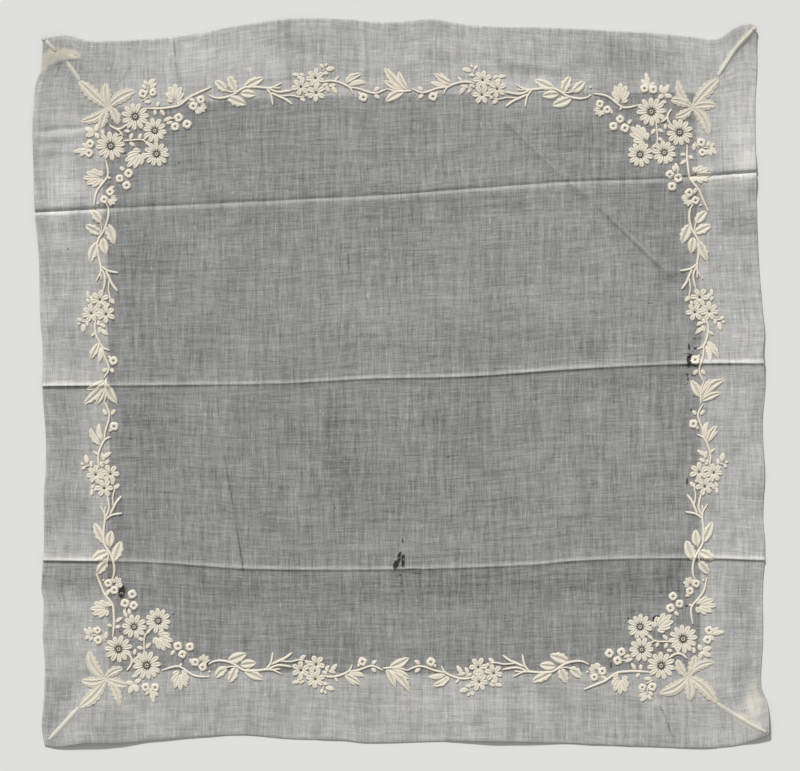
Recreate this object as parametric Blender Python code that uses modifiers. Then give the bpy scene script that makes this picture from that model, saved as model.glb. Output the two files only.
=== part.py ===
"""Linen handkerchief: one square of fine linen with a wide mitred hem, lying face up with its old folds.

Metres, +Z up. The cloth is laid out flat: +X is its right side and +Y its top side, and the
origin is under the middle of its bounding box, on the surface that it lies on.

The hem, its mitres and the whitework are part of one cloth, so this is one sheet and one solid.
Its underside is flat on the surface, but for the old fold lines and for the few places where
the hem puckers off the surface. The two lower fold lines stand up as soft ridges. The upper one
was folded the other way: it is sunk, between two soft swells.
"""

from collections import namedtuple

import bmesh
import bpy
from mathutils import Vector

MM = 0.001

# Driving sizes, in millimetres.
HALF_SIDE = 186.0  # half the side of the plain square that the outline strays from
SHEET_THICKNESS = 1.0
OUTLINE_REACH = 60.0  # how far inside the edge the waves of the outline have died out
RIDGE_REACH = 10.0  # half the width of a fold line's ridge, at its foot
SWELL_REACH = 18.0  # half the width of the swells beside a sunk fold line, together
SUNK_REACH = 6.5  # half the width of the trough between them
STEP_ACROSS = 9.3  # between the columns of the sheet

# The outline. along runs with the side, from the middle of the cloth, and out is how far the
# edge stands from the middle there. Each table is read along +X or +Y.
Edge = namedtuple("Edge", "along out")
TOP_EDGE = [
    Edge(-186, 179.0),
    Edge(-174, 180.5),
    Edge(-163, 178.0),
    Edge(-130, 179.0),
    Edge(-108, 181.5),
    Edge(-83, 186.2),
    Edge(-53, 189.6),
    Edge(-30, 189.2),
    Edge(-5, 187.6),
    Edge(15, 189.2),
    Edge(37, 186.0),
    Edge(70, 185.0),
    Edge(123, 182.5),
    Edge(150, 180.3),
    Edge(162, 178.8),
    Edge(168, 180.2),
    Edge(175, 184.8),
    Edge(182, 186.6),
    Edge(186, 185.2),
]
BOTTOM_EDGE = [
    Edge(-186, 188.8),
    Edge(-179, 189.3),
    Edge(-164, 187.3),
    Edge(-146, 187.2),
    Edge(-119, 185.0),
    Edge(-83, 183.0),
    Edge(-58, 184.9),
    Edge(-32, 185.7),
    Edge(-17, 187.2),
    Edge(28, 186.2),
    Edge(85, 187.3),
    Edge(121, 188.8),
    Edge(152, 189.7),
    Edge(168, 188.8),
    Edge(177, 186.2),
    Edge(186, 182.6),
]
LEFT_EDGE = [
    Edge(-186, 185.1),
    Edge(-176, 186.7),
    Edge(-163, 185.6),
    Edge(-146, 185.1),
    Edge(-132, 186.2),
    Edge(-115, 185.6),
    Edge(-109, 186.9),
    Edge(-88, 185.6),
    Edge(-56, 185.6),
    Edge(-43, 184.6),
    Edge(-25, 184.6),
    Edge(0, 186.2),
    Edge(26, 186.2),
    Edge(41, 187.5),
    Edge(74, 188.2),
    Edge(101, 190.3),
    Edge(134, 191.4),
    Edge(150, 190.8),
    Edge(163, 189.8),
    Edge(171, 187.2),
    Edge(186, 185.6),
]
RIGHT_EDGE = [
    Edge(-186, 191.5),
    Edge(-170, 190.6),
    Edge(-160, 187.3),
    Edge(-133, 188.2),
    Edge(-112, 188.0),
    Edge(-86, 189.3),
    Edge(-74, 188.3),
    Edge(-52, 189.0),
    Edge(-26, 188.0),
    Edge(-8, 189.3),
    Edge(9, 188.2),
    Edge(19, 189.0),
    Edge(30, 188.0),
    Edge(52, 186.2),
    Edge(83, 185.0),
    Edge(137, 184.2),
    Edge(163, 185.1),
    Edge(186, 184.5),
]

# The fold lines that run across the cloth, left to right: a row for each place along one,
# with its height up the cloth and how far its ridge stands up.
Place = namedtuple("Place", "x y lift")
UPPER_FOLD = [
    Place(-190, 88.4, 1.5),
    Place(-132, 91.5, 1.6),
    Place(-68, 94.6, 1.3),
    Place(-10, 97.5, 1.8),
    Place(37, 100.9, 1.8),
    Place(87, 104.5, 1.6),
    Place(135, 106.1, 2.0),
    Place(190, 109.8, 2.2),
]
MIDDLE_FOLD = [
    Place(-186, -1.5, 2.0),
    Place(-105, -0.8, 1.3),
    Place(-60, 0.0, 1.0),
    Place(-17, 2.4, 1.8),
    Place(35, 3.6, 2.2),
    Place(97, 7.8, 2.4),
    Place(150, 10.2, 2.4),
    Place(190, 10.4, 2.6),
]
LOWER_FOLD = [
    Place(-186, -92.0, 1.0),
    Place(-130, -93.0, 1.2),
    Place(-83, -96.2, 2.0),
    Place(-40, -96.9, 2.2),
    Place(19, -96.2, 2.4),
    Place(67, -94.3, 1.8),
    Place(95, -92.0, 2.0),
    Place(150, -90.8, 1.6),
    Place(190, -92.0, 1.6),
]
FOLD_LINES = {-94.0: LOWER_FOLD, 4.0: MIDDLE_FOLD, 99.0: UPPER_FOLD}
SUNK_LEVEL = 99.0  # the fold line that is a trough, the others being ridges

# Softer creases that run down or slantwise, from one end to the other.
Crease = namedtuple("Crease", "x1 y1 x2 y2 lift reach")
SOFT_CREASES = [
    Crease(53, 138, 97, 98, 1.2, 12),
    Crease(97, 98, 141, 56, 1.0, 12),
    Crease(-98, -2, -92, -45, 0.8, 11),
    Crease(-92, -45, -78, -131, 1.1, 11),
    Crease(-118, 179, -116, 158, 0.9, 11),
    Crease(-21, 188, -18, 160, 0.9, 11),
    Crease(134, -166, 141, -184, 1.0, 11),
    Crease(-109, -156, -110, -182, 0.8, 11),
]

# Where the hem puckers and lifts off the surface.
Pucker = namedtuple("Pucker", "x y lift reach")
PUCKERS = [
    Pucker(-184, 177, 3.0, 16),
    Pucker(-190, 134, 1.6, 24),
    Pucker(-53, 189, 1.6, 30),
    Pucker(178, 185, 3.2, 16),
    Pucker(188, 15, 1.4, 26),
    Pucker(190, -178, 2.6, 20),
    Pucker(60, -187, 1.2, 34),
    Pucker(-160, -187, 2.4, 30),
]

# Rows up the sheet, as distances from a fold line, and between the fold lines and the edges.
ROWS_BY_A_FOLD = (-9.0, -4.5, -1.8, 0.0, 1.8, 4.5, 9.0)
ROWS_BY_AN_EDGE = (186.0, 183.0, 177.5, 170.0, 160.0, 148.0, 134.0, 120.0)
ROWS_BETWEEN = 5

LINEN_COLOUR = (0.60, 0.59, 0.55, 1.0)
LINEN_ROUGHNESS = 0.88


def clear_scene():
    for old in list(bpy.data.objects):
        bpy.data.objects.remove(old, do_unlink=True)


def smooth_read(rows, at, key, value):
    """Reads a table at a place between its rows, on a smooth line through them."""
    keys = [getattr(row, key) for row in rows]
    values = [getattr(row, value) for row in rows]
    at = min(max(at, keys[0]), keys[-1])
    i = min(max(sum(k <= at for k in keys) - 1, 0), len(keys) - 2)
    before, after = max(i - 1, 0), min(i + 2, len(keys) - 1)
    span = keys[i + 1] - keys[i]
    slope_in = (values[i + 1] - values[before]) / (keys[i + 1] - keys[before])
    slope_out = (values[after] - values[i]) / (keys[after] - keys[i])
    t = (at - keys[i]) / span
    return (
        values[i] * (1 + 2 * t) * (1 - t) ** 2
        + values[i + 1] * (3 - 2 * t) * t**2
        + span * (slope_in * t * (1 - t) ** 2 - slope_out * t**2 * (1 - t))
    )


def fade(distance, reach):
    """1 at no distance and 0 from reach on, with no corner at either end."""
    share = min(abs(distance) / reach, 1.0)
    return 1 - share * share * (3 - 2 * share)


def ridge(distance, reach):
    """A raised line's section: a narrow crest with hollow flanks, flat from reach on."""
    return max(0.0, 1 - abs(distance) / reach) ** 2


def fold_section(level, distance):
    """A fold line's section, from 0 where the cloth is flat to 1 at its highest."""
    if level == SUNK_LEVEL:
        return fade(distance, SWELL_REACH) * (1 - ridge(distance, SUNK_REACH))
    return ridge(distance, RIDGE_REACH)


def fold_shift(x, height):
    """How far the cloth's rows are drawn up or down so that they follow the fold lines."""
    known = [(-HALF_SIDE, 0.0)]
    for level, rows in FOLD_LINES.items():
        known.append((level, smooth_read(rows, x, "x", "y") - level))
    known.append((HALF_SIDE, 0.0))
    for (low, shift_low), (high, shift_high) in zip(known, known[1:], strict=False):
        if height <= high:
            share = (height - low) / (high - low)
            return shift_low + share * (shift_high - shift_low)
    return 0.0


def place_on_cloth(across, up):
    """Where a point of the plain square lies, in millimetres, once the outline is wavy."""
    left = HALF_SIDE - smooth_read(LEFT_EDGE, up, "along", "out")
    right = smooth_read(RIGHT_EDGE, up, "along", "out") - HALF_SIDE
    bottom = HALF_SIDE - smooth_read(BOTTOM_EDGE, across, "along", "out")
    top = smooth_read(TOP_EDGE, across, "along", "out") - HALF_SIDE
    x = across + left * fade(HALF_SIDE + across, OUTLINE_REACH)
    x += right * fade(HALF_SIDE - across, OUTLINE_REACH)
    y = up + fold_shift(across, up)
    y += bottom * fade(HALF_SIDE + up, OUTLINE_REACH)
    y += top * fade(HALF_SIDE - up, OUTLINE_REACH)
    return x, y


def crease_lift(crease, x, y):
    """How far a soft crease lifts the cloth at x, y. It dies out towards both its ends."""
    start = Vector((crease.x1, crease.y1))
    line = Vector((crease.x2, crease.y2)) - start
    offset = Vector((x, y)) - start
    share = offset.dot(line) / line.length_squared
    nearest = start + line * min(max(share, 0.0), 1.0)
    return crease.lift * ridge((Vector((x, y)) - nearest).length, crease.reach)


def lift_at(across, up, x, y):
    """Height of the sheet's underside over the surface, in millimetres."""
    folds = sum(
        smooth_read(rows, across, "x", "lift") * fold_section(level, up - level)
        for level, rows in FOLD_LINES.items()
    )
    creases = max(crease_lift(crease, x, y) for crease in SOFT_CREASES)
    puckers = sum(
        pucker.lift * fade((Vector((x, y)) - Vector((pucker.x, pucker.y))).length, pucker.reach)
        for pucker in PUCKERS
    )
    return folds + creases + puckers


def row_places():
    """Where the sheet's rows lie, close together by each fold line and by the edges."""
    rows = {-edge for edge in ROWS_BY_AN_EDGE} | set(ROWS_BY_AN_EDGE)
    levels = sorted(FOLD_LINES)
    for level in levels:
        rows |= {level + step for step in ROWS_BY_A_FOLD}
    for below, above in zip(levels, levels[1:], strict=False):
        low, high = below + ROWS_BY_A_FOLD[-1], above + ROWS_BY_A_FOLD[0]
        step = (high - low) / (ROWS_BETWEEN + 1)
        rows |= {low + step * n for n in range(1, ROWS_BETWEEN + 1)}
    return sorted(rows)


def column_places():
    """Where the sheet's columns lie: evenly spaced, with two more near each edge."""
    count = round(2 * HALF_SIDE / STEP_ACROSS)
    columns = {-HALF_SIDE + 2 * HALF_SIDE * n / count for n in range(count + 1)}
    for inset in (STEP_ACROSS / 3, STEP_ACROSS * 2 / 3):
        columns |= {inset - HALF_SIDE, HALF_SIDE - inset}
    return sorted(columns)


def linen_material():
    material = bpy.data.materials.new("linen")
    material.use_nodes = True
    shader = material.node_tree.nodes["Principled BSDF"]
    shader.inputs["Base Color"].default_value = LINEN_COLOUR
    shader.inputs["Roughness"].default_value = LINEN_ROUGHNESS
    shader.inputs["Metallic"].default_value = 0.0
    return material


def centred(mesh):
    """Moves the mesh so that the origin is in the middle of its length and width."""
    xs = [vertex.co.x for vertex in mesh.vertices]
    ys = [vertex.co.y for vertex in mesh.vertices]
    middle = Vector(((min(xs) + max(xs)) / 2, (min(ys) + max(ys)) / 2, 0))
    for vertex in mesh.vertices:
        vertex.co -= middle


def make_handkerchief(collection):
    columns, rows = column_places(), row_places()
    sheet = bmesh.new()
    bmesh.ops.create_grid(
        sheet, x_segments=len(columns) - 1, y_segments=len(rows) - 1, size=1.0
    )
    for vertex in sheet.verts:
        column = round((vertex.co.x + 1) / 2 * (len(columns) - 1))
        row = round((vertex.co.y + 1) / 2 * (len(rows) - 1))
        across, up = columns[column], rows[row]
        x, y = place_on_cloth(across, up)
        vertex.co = Vector((x, y, lift_at(across, up, x, y))) * MM
    mesh = bpy.data.meshes.new("handkerchief")
    sheet.to_mesh(mesh)
    sheet.free()
    centred(mesh)
    mesh.shade_smooth()
    mesh.materials.append(linen_material())
    handkerchief = bpy.data.objects.new("handkerchief", mesh)
    collection.objects.link(handkerchief)
    solidify = handkerchief.modifiers.new("cloth thickness", "SOLIDIFY")
    solidify.thickness = SHEET_THICKNESS * MM
    solidify.offset = 1.0
    return handkerchief


def main():
    clear_scene()
    collection = bpy.data.collections.new("linen_handkerchief")
    bpy.context.scene.collection.children.link(collection)
    make_handkerchief(collection)


main()
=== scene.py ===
"""Looks of a linen handkerchief: sheer plain weave, a wide mitred hem and a whitework border.

Sizes and places in the tables are millimetres on the cloth as it lies, +X to its right side and
+Y to its top side. Meshes are made from them in metres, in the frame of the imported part.
"""

import logging
import math
from collections.abc import Sequence
from dataclasses import dataclass, field
from enum import Enum
from typing import NamedTuple

import bmesh
import bpy
import numpy as np
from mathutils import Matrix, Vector


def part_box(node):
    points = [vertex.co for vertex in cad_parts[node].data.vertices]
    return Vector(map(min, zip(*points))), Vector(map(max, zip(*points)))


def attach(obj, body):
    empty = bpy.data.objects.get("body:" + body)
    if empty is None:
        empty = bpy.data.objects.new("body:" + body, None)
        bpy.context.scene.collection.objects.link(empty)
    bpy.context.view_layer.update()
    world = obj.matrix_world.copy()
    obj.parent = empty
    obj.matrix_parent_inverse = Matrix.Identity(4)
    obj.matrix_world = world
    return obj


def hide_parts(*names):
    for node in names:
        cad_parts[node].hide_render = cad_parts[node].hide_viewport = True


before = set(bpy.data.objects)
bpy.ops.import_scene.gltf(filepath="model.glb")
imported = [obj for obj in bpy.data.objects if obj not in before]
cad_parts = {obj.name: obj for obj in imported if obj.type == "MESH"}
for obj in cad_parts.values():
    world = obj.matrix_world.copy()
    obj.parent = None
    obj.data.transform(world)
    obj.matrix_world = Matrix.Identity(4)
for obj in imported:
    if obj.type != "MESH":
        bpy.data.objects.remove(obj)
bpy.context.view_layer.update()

MM = 0.001
NODE = "handkerchief"
BODY = "root"
DOT_LENGTH = 0.6  # a shorter mark on the cloth is drawn as a dot, in millimetres
CUT_MAP = "OFBake"  # the cloth's own layout, as it was cut
STITCH_MAP = "stitch"  # along and across a stitched shape, in millimetres
# painted light and shade over broad places of the cloth
SHADED = "shaded"  # how much lighter or darker the cloth is over broad places
TONE = "tone"  # how light a stitch is painted: 1 on its lit crown, lower as painted shade at its foot and in its grooves, 0 in a pierced hole

# Seeds for the unevenness of hand stitching. Corners and vines count on from theirs.
FIRST_CORNER_SEED = 11
FIRST_VINE_SEED = 21
SEAM_SEED = 41
FRAY_SEED = 53

log = logging.getLogger("handkerchief")


# --------------------------------------------------------------------------------------------
# The cloth's form
# --------------------------------------------------------------------------------------------


class Edge(NamedTuple):
    """A place on one side of the outline, and how far the edge stands from the middle there."""

    along: float
    out: float


class Place(NamedTuple):
    """A place along a fold line, with how far its ridge stands up."""

    x: float
    y: float
    lift: float


class Crease(NamedTuple):
    """A crease through listed places, with the height and half width of its ridge."""

    route: tuple[tuple[float, float], ...]
    lift: float
    reach: float


class Rise(NamedTuple):
    """One ridge of a fold line's section: its share of the height, and its half width."""

    share: float
    reach: float


class Pucker(NamedTuple):
    """A place where the hem lifts off the surface."""

    x: float
    y: float
    lift: float
    reach: float


TOP_EDGE = (
    Edge(-186, 179.0), Edge(-174, 180.5), Edge(-163, 178.0), Edge(-130, 179.0), Edge(-108, 181.5),
    Edge(-83, 186.2), Edge(-53, 189.6), Edge(-30, 189.2), Edge(-5, 187.6), Edge(15, 189.2),
    Edge(37, 186.0), Edge(70, 185.0), Edge(123, 182.5), Edge(150, 180.3), Edge(162, 178.8),
    Edge(168, 180.2), Edge(175, 184.8), Edge(182, 186.6), Edge(186, 185.2),
)
BOTTOM_EDGE = (
    Edge(-186, 188.8), Edge(-179, 189.3), Edge(-164, 187.3), Edge(-146, 187.2), Edge(-119, 185.0),
    Edge(-83, 183.0), Edge(-58, 184.9), Edge(-32, 185.7), Edge(-17, 187.2), Edge(28, 186.2),
    Edge(85, 187.3), Edge(121, 188.8), Edge(152, 189.7), Edge(168, 188.8), Edge(177, 186.2),
    Edge(186, 182.6),
)
LEFT_EDGE = (
    Edge(-186, 185.1), Edge(-176, 186.7), Edge(-163, 185.6), Edge(-146, 185.1), Edge(-132, 186.2),
    Edge(-115, 185.6), Edge(-109, 186.9), Edge(-88, 185.6), Edge(-56, 185.6), Edge(-43, 184.6),
    Edge(-25, 184.6), Edge(0, 186.2), Edge(26, 186.2), Edge(41, 187.5), Edge(74, 188.2),
    Edge(101, 190.3), Edge(134, 191.4), Edge(150, 190.8), Edge(163, 189.8), Edge(171, 187.2),
    Edge(186, 185.6),
)
RIGHT_EDGE = (
    Edge(-186, 191.5), Edge(-170, 190.6), Edge(-160, 187.3), Edge(-133, 188.2), Edge(-112, 188.0),
    Edge(-86, 189.3), Edge(-74, 188.3), Edge(-52, 189.0), Edge(-26, 188.0), Edge(-8, 189.3),
    Edge(9, 188.2), Edge(19, 189.0), Edge(30, 188.0), Edge(52, 186.2), Edge(83, 185.0),
    Edge(137, 184.2), Edge(163, 185.1), Edge(186, 184.5),
)

# The three old fold lines, by the height on the plain square that each follows.
FOLD_LINES = {
    -94.0: (
        Place(-186, -92.0, 1.8), Place(-130, -93.0, 1.3), Place(-83, -96.2, 1.7),
        Place(-40, -96.9, 1.2), Place(19, -96.2, 1.0), Place(67, -94.3, 1.1),
        Place(95, -92.0, 1.6), Place(150, -90.8, 1.4), Place(190, -92.0, 1.4),
    ),
    4.0: (
        Place(-186, -1.5, 2.0), Place(-105, -0.8, 1.3), Place(-60, 0.0, 1.0),
        Place(-17, 2.4, 1.8), Place(35, 3.6, 2.2), Place(97, 7.8, 2.4),
        Place(150, 10.2, 1.5), Place(190, 10.4, 1.3),
    ),
    99.0: (
        Place(-190, 88.4, 1.3), Place(-132, 91.5, 1.1), Place(-68, 94.6, 1.0),
        Place(-10, 97.5, 1.1), Place(37, 100.9, 1.1), Place(87, 104.5, 1.0),
        Place(135, 106.1, 1.1), Place(190, 109.8, 1.7),
    ),
}

SUNK_LEVEL = 99.0  # the upper fold line is a trough between two swells, the others are ridges
SWELL_REACH = 16.0  # how far the swells beside it reach

# A fold line's section on each side, as ridges that add up to its whole height.
GENTLE_SIDE = (Rise(0.42, 14.0), Rise(0.22, 6.0), Rise(0.36, 2.4))
STEEP_SIDE = (Rise(0.50, 14.0), Rise(0.50, 1.5))
SUNK_ABOVE = (Rise(1.0, 2.4),)
SUNK_BELOW = (Rise(0.5, 5.5), Rise(0.5, 1.8))

# Creases that run down or slantwise: the long ones in the middle, then the short ones in the hem.
CREASES = (
    Crease(((52.5, 138.5), (67, 125.5), (86, 106), (97, 98)), 1.5, 5.0),
    Crease(((97, 98), (114, 83), (136, 60.5), (141.5, 55.5)), 1.4, 4.4),
    Crease(((-98, -1.5), (-93, -21), (-92, -38.5)), 0.9, 3.6),
    Crease(((-92, -38.5), (-87.5, -71), (-84, -95), (-80.5, -105), (-78, -131)), 1.4, 3.6),
    Crease(((-117.5, 179.5), (-117.5, 170), (-116.5, 158)), 1.5, 3.0),
    Crease(((-20.5, 187.5), (-19.5, 174), (-18, 159.5)), 1.1, 3.2),
    Crease(((-191.5, 131.5), (-176, 132), (-163.5, 134)), -0.5, 5.0),
    Crease(((-191, 127.5), (-176, 128), (-162, 131)), 0.9, 4.4),
    Crease(((-189, 120.5), (-170, 120.5)), 0.7, 3.6),
    Crease(((132.5, -166), (137.5, -173), (141, -184)), 1.4, 3.0),
    Crease(((-109, -156), (-110, -182)), 1.1, 3.2),
    Crease(((2.5, -162), (2.5, -185)), 0.8, 3.2),
    Crease(((32, 176), (60, 166), (84, 163)), 0.9, 6.0),
    Crease(((-167, 60), (-176, 40), (-184, 28)), 0.6, 6.0),
    Crease(((160, 84), (170, 66), (172, 40)), 0.6, 6.0),
    Crease(((183.5, 184), (173.5, 173), (165, 159.5)), 0.8, 3.0),
    Crease(((164, -166), (176, -174), (189.5, -181.5)), 0.6, 3.0),
    Crease(((-183, -185.5), (-168, -169.5)), 0.6, 3.0),
)

PUCKERS = (
    Pucker(-184, 177, 2.6, 16), Pucker(-190, 134, 1.6, 24), Pucker(-53, 189, 1.6, 30),
    Pucker(178, 185, 3.0, 16), Pucker(188, 15, 1.4, 26), Pucker(190, -178, 2.6, 20),
    Pucker(60, -187, 1.2, 34), Pucker(-160, -187, 2.4, 30),
)


def smooth_read(keys: Sequence[float], values: Sequence[float], at: np.ndarray) -> np.ndarray:
    """Reads a table between its rows, on a smooth line through them.

    Args:
        keys: where the rows are, rising.
        values: what the rows say.
        at: the places to read.

    Returns:
        The value at each place.
    """
    key, value = np.asarray(keys, float), np.asarray(values, float)
    at = np.clip(at, key[0], key[-1])
    i = np.clip(np.searchsorted(key, at, side="right") - 1, 0, len(key) - 2)
    before, after = np.maximum(i - 1, 0), np.minimum(i + 2, len(key) - 1)
    span = key[i + 1] - key[i]
    slope_in = (value[i + 1] - value[before]) / (key[i + 1] - key[before])
    slope_out = (value[after] - value[i]) / (key[after] - key[i])
    t = (at - key[i]) / span
    return (
        value[i] * (1 + 2 * t) * (1 - t) ** 2
        + value[i + 1] * (3 - 2 * t) * t**2
        + span * (slope_in * t * (1 - t) ** 2 - slope_out * t**2 * (1 - t))
    )


def fade(distance: np.ndarray, reach: float) -> np.ndarray:
    """1 at no distance and 0 from reach on, with no corner at either end."""
    share = np.minimum(np.abs(distance) / reach, 1.0)
    return 1 - share * share * (3 - 2 * share)


def ridge(distance: np.ndarray, reach: float) -> np.ndarray:
    """A crease's section: a narrow crest with hollow flanks, flat from reach on."""
    return np.maximum(0.0, 1 - np.abs(distance) / reach) ** 2


def fold_section(level: float, distance: np.ndarray) -> np.ndarray:
    """A fold line's section: the side below it is steeper than the side above.

    Args:
        level: which fold line it is.
        distance: places up from the line.

    Returns:
        Its height there, from 0 where the cloth is flat to 1 at its highest.
    """

    def shaped(above: Sequence[Rise], below: Sequence[Rise]) -> np.ndarray:
        """The two sides' sections, each from its ridges."""
        upper, lower = (
            sum(rise.share * ridge(distance, rise.reach) for rise in rises)
            for rises in (above, below)
        )
        return np.where(distance > 0, upper, lower)

    if level == SUNK_LEVEL:
        return fade(distance, SWELL_REACH) * (1 - shaped(SUNK_ABOVE, SUNK_BELOW))
    return shaped(GENTLE_SIDE, STEEP_SIDE)


def distance_to_route(x: np.ndarray, y: np.ndarray, route: Sequence) -> tuple:
    """Measures from points to a line of straight runs.

    Args:
        x: the points' places across.
        y: the points' places up.
        route: the line's own places.

    Returns:
        Each point's distance, and how far along the route its nearest place is, 0 to 1.
    """
    best, share = np.full(np.shape(x), np.inf), np.zeros(np.shape(x))
    runs = len(route) - 1
    for n, ((x1, y1), (x2, y2)) in enumerate(zip(route, route[1:], strict=False)):
        run_x, run_y = x2 - x1, y2 - y1
        t = ((x - x1) * run_x + (y - y1) * run_y) / (run_x**2 + run_y**2)
        t = np.clip(t, 0, 1)
        distance = np.hypot(x - x1 - t * run_x, y - y1 - t * run_y)
        nearer = distance < best
        best, share = np.where(nearer, distance, best), np.where(nearer, (n + t) / runs, share)
    return best, share


@dataclass(frozen=True)
class ClothForm:
    """Where the cloth lies: its wavy outline, its fold lines, creases and puckers."""

    half_side: float = 186.0
    outline_reach: float = 60.0
    fold_share: float = 0.62  # how much of a fold line's lift is left in the pressed cloth
    hem_edge: float = 151.0  # beyond it the cloth is double, and folds stand up more
    hem_gain: float = 1.9
    ripple_waves: int = 26
    ripple_height: float = 0.08
    ripple_lengths: tuple[float, float] = (14.0, 70.0)
    ripple_seed: int = 7
    crease_end: float = 0.35  # how much of a crease's height is left at its ends
    closing_steps: int = 6
    shift_x: float = 0.0  # from the tables' middle to the frame's
    shift_y: float = 0.0

    @classmethod
    def in_box(cls, low: Vector, high: Vector) -> "ClothForm":
        """Makes the form whose outline is centred in a box.

        Args:
            low: the box's lowest corner, in metres.
            high: its highest corner.

        Returns:
            The form, shifted to the box's middle.
        """
        form = cls()
        side = np.linspace(-form.half_side, form.half_side, 400)
        end = np.full_like(side, form.half_side)
        left, right = form.placed(-end, side)[0].min(), form.placed(end, side)[0].max()
        bottom, top = form.placed(side, -end)[1].min(), form.placed(side, end)[1].max()
        middle = (low + high) / 2 / MM
        return cls(shift_x=middle.x - (left + right) / 2, shift_y=middle.y - (bottom + top) / 2)

    def fold_shift(self, across: np.ndarray, up: np.ndarray) -> np.ndarray:
        """How far the cloth's rows are drawn up or down so that they follow the fold lines."""
        levels = [-self.half_side, *FOLD_LINES, self.half_side]
        shifts = [np.zeros_like(across)]
        for level, rows in FOLD_LINES.items():
            at = smooth_read([row.x for row in rows], [row.y for row in rows], across)
            shifts.append(at - level)
        shifts.append(np.zeros_like(across))
        i = np.clip(np.searchsorted(levels, up, side="right") - 1, 0, len(levels) - 2)
        low, high = np.take(levels, i), np.take(levels, i + 1)
        table = np.stack(shifts)
        columns = np.arange(len(across))
        share = (up - low) / (high - low)
        return table[i, columns] * (1 - share) + table[i + 1, columns] * share

    def placed(self, across: np.ndarray, up: np.ndarray) -> tuple[np.ndarray, np.ndarray]:
        """Lays points of the plain square where the cloth lies.

        Args:
            across: places across the plain square.
            up: places up it.

        Returns:
            The places across and up on the cloth as it lies.
        """

        def strayed(edge: Sequence[Edge], at: np.ndarray) -> np.ndarray:
            """How far one side strays from the plain square's side."""
            out = smooth_read([row.along for row in edge], [row.out for row in edge], at)
            return out - self.half_side

        half, reach = self.half_side, self.outline_reach
        x = across - strayed(LEFT_EDGE, up) * fade(half + across, reach)
        x += strayed(RIGHT_EDGE, up) * fade(half - across, reach)
        y = up + self.fold_shift(across, up)
        y -= strayed(BOTTOM_EDGE, across) * fade(half + up, reach)
        y += strayed(TOP_EDGE, across) * fade(half - up, reach)
        return x, y

    def unplaced(self, x: np.ndarray, y: np.ndarray) -> tuple[np.ndarray, np.ndarray]:
        """Finds where points of the lying cloth are on the plain square, by closing in on them."""
        across, up = x.copy(), y.copy()
        for _ in range(self.closing_steps):
            now_x, now_y = self.placed(across, up)
            across, up = across + (x - now_x), up + (y - now_y)
        return across, up

    def ripples(self, x: np.ndarray, y: np.ndarray) -> np.ndarray:
        """The slight unevenness of old cloth: many low waves at seeded places."""
        seeded = np.random.default_rng(self.ripple_seed)
        height = np.zeros_like(x)
        for _ in range(self.ripple_waves):
            turn, length = seeded.uniform(0, math.tau), seeded.uniform(*self.ripple_lengths)
            phase = seeded.uniform(0, math.tau)
            wave = (x * math.cos(turn) + y * math.sin(turn)) * math.tau / length
            height += self.ripple_height * (length / 40) * np.sin(wave + phase)
        return height

    def lift(self, across: np.ndarray, up: np.ndarray, x: np.ndarray, y: np.ndarray) -> np.ndarray:
        """Height of the cloth over where it lies flat.

        Args:
            across: places across the plain square.
            up: places up it.
            x: the same points' places across the lying cloth.
            y: and up it.

        Returns:
            Heights in millimetres, none below 0.
        """
        height = np.maximum(self.ripples(x, y), -0.1)
        for level, rows in FOLD_LINES.items():
            crest = smooth_read([row.x for row in rows], [row.lift for row in rows], across)
            gain = np.where(np.abs(across) > self.hem_edge, self.hem_gain, 1.0)
            height += crest * self.fold_share * gain * fold_section(level, up - level)
        for crease in CREASES:
            distance, share = distance_to_route(x, y, crease.route)
            dying = np.minimum(1.0, self.crease_end + 6 * np.minimum(share, 1 - share))
            height += crease.lift * dying * ridge(distance, crease.reach)
        for pucker in PUCKERS:
            height += pucker.lift * fade(np.hypot(x - pucker.x, y - pucker.y), pucker.reach)
        return np.maximum(height, 0.0)

    def over(self, x: np.ndarray, y: np.ndarray) -> np.ndarray:
        """Height of the lying cloth under given points, in millimetres."""
        across, up = self.unplaced(x, y)
        return self.lift(across, up, x, y)

    def framed(self, x: np.ndarray, y: np.ndarray, z: np.ndarray) -> np.ndarray:
        """Points in metres in the part's frame, one row each, from places on the cloth."""
        return np.column_stack((x + self.shift_x, y + self.shift_y, z)) * MM


# --------------------------------------------------------------------------------------------
# Shader kit
# --------------------------------------------------------------------------------------------


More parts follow.
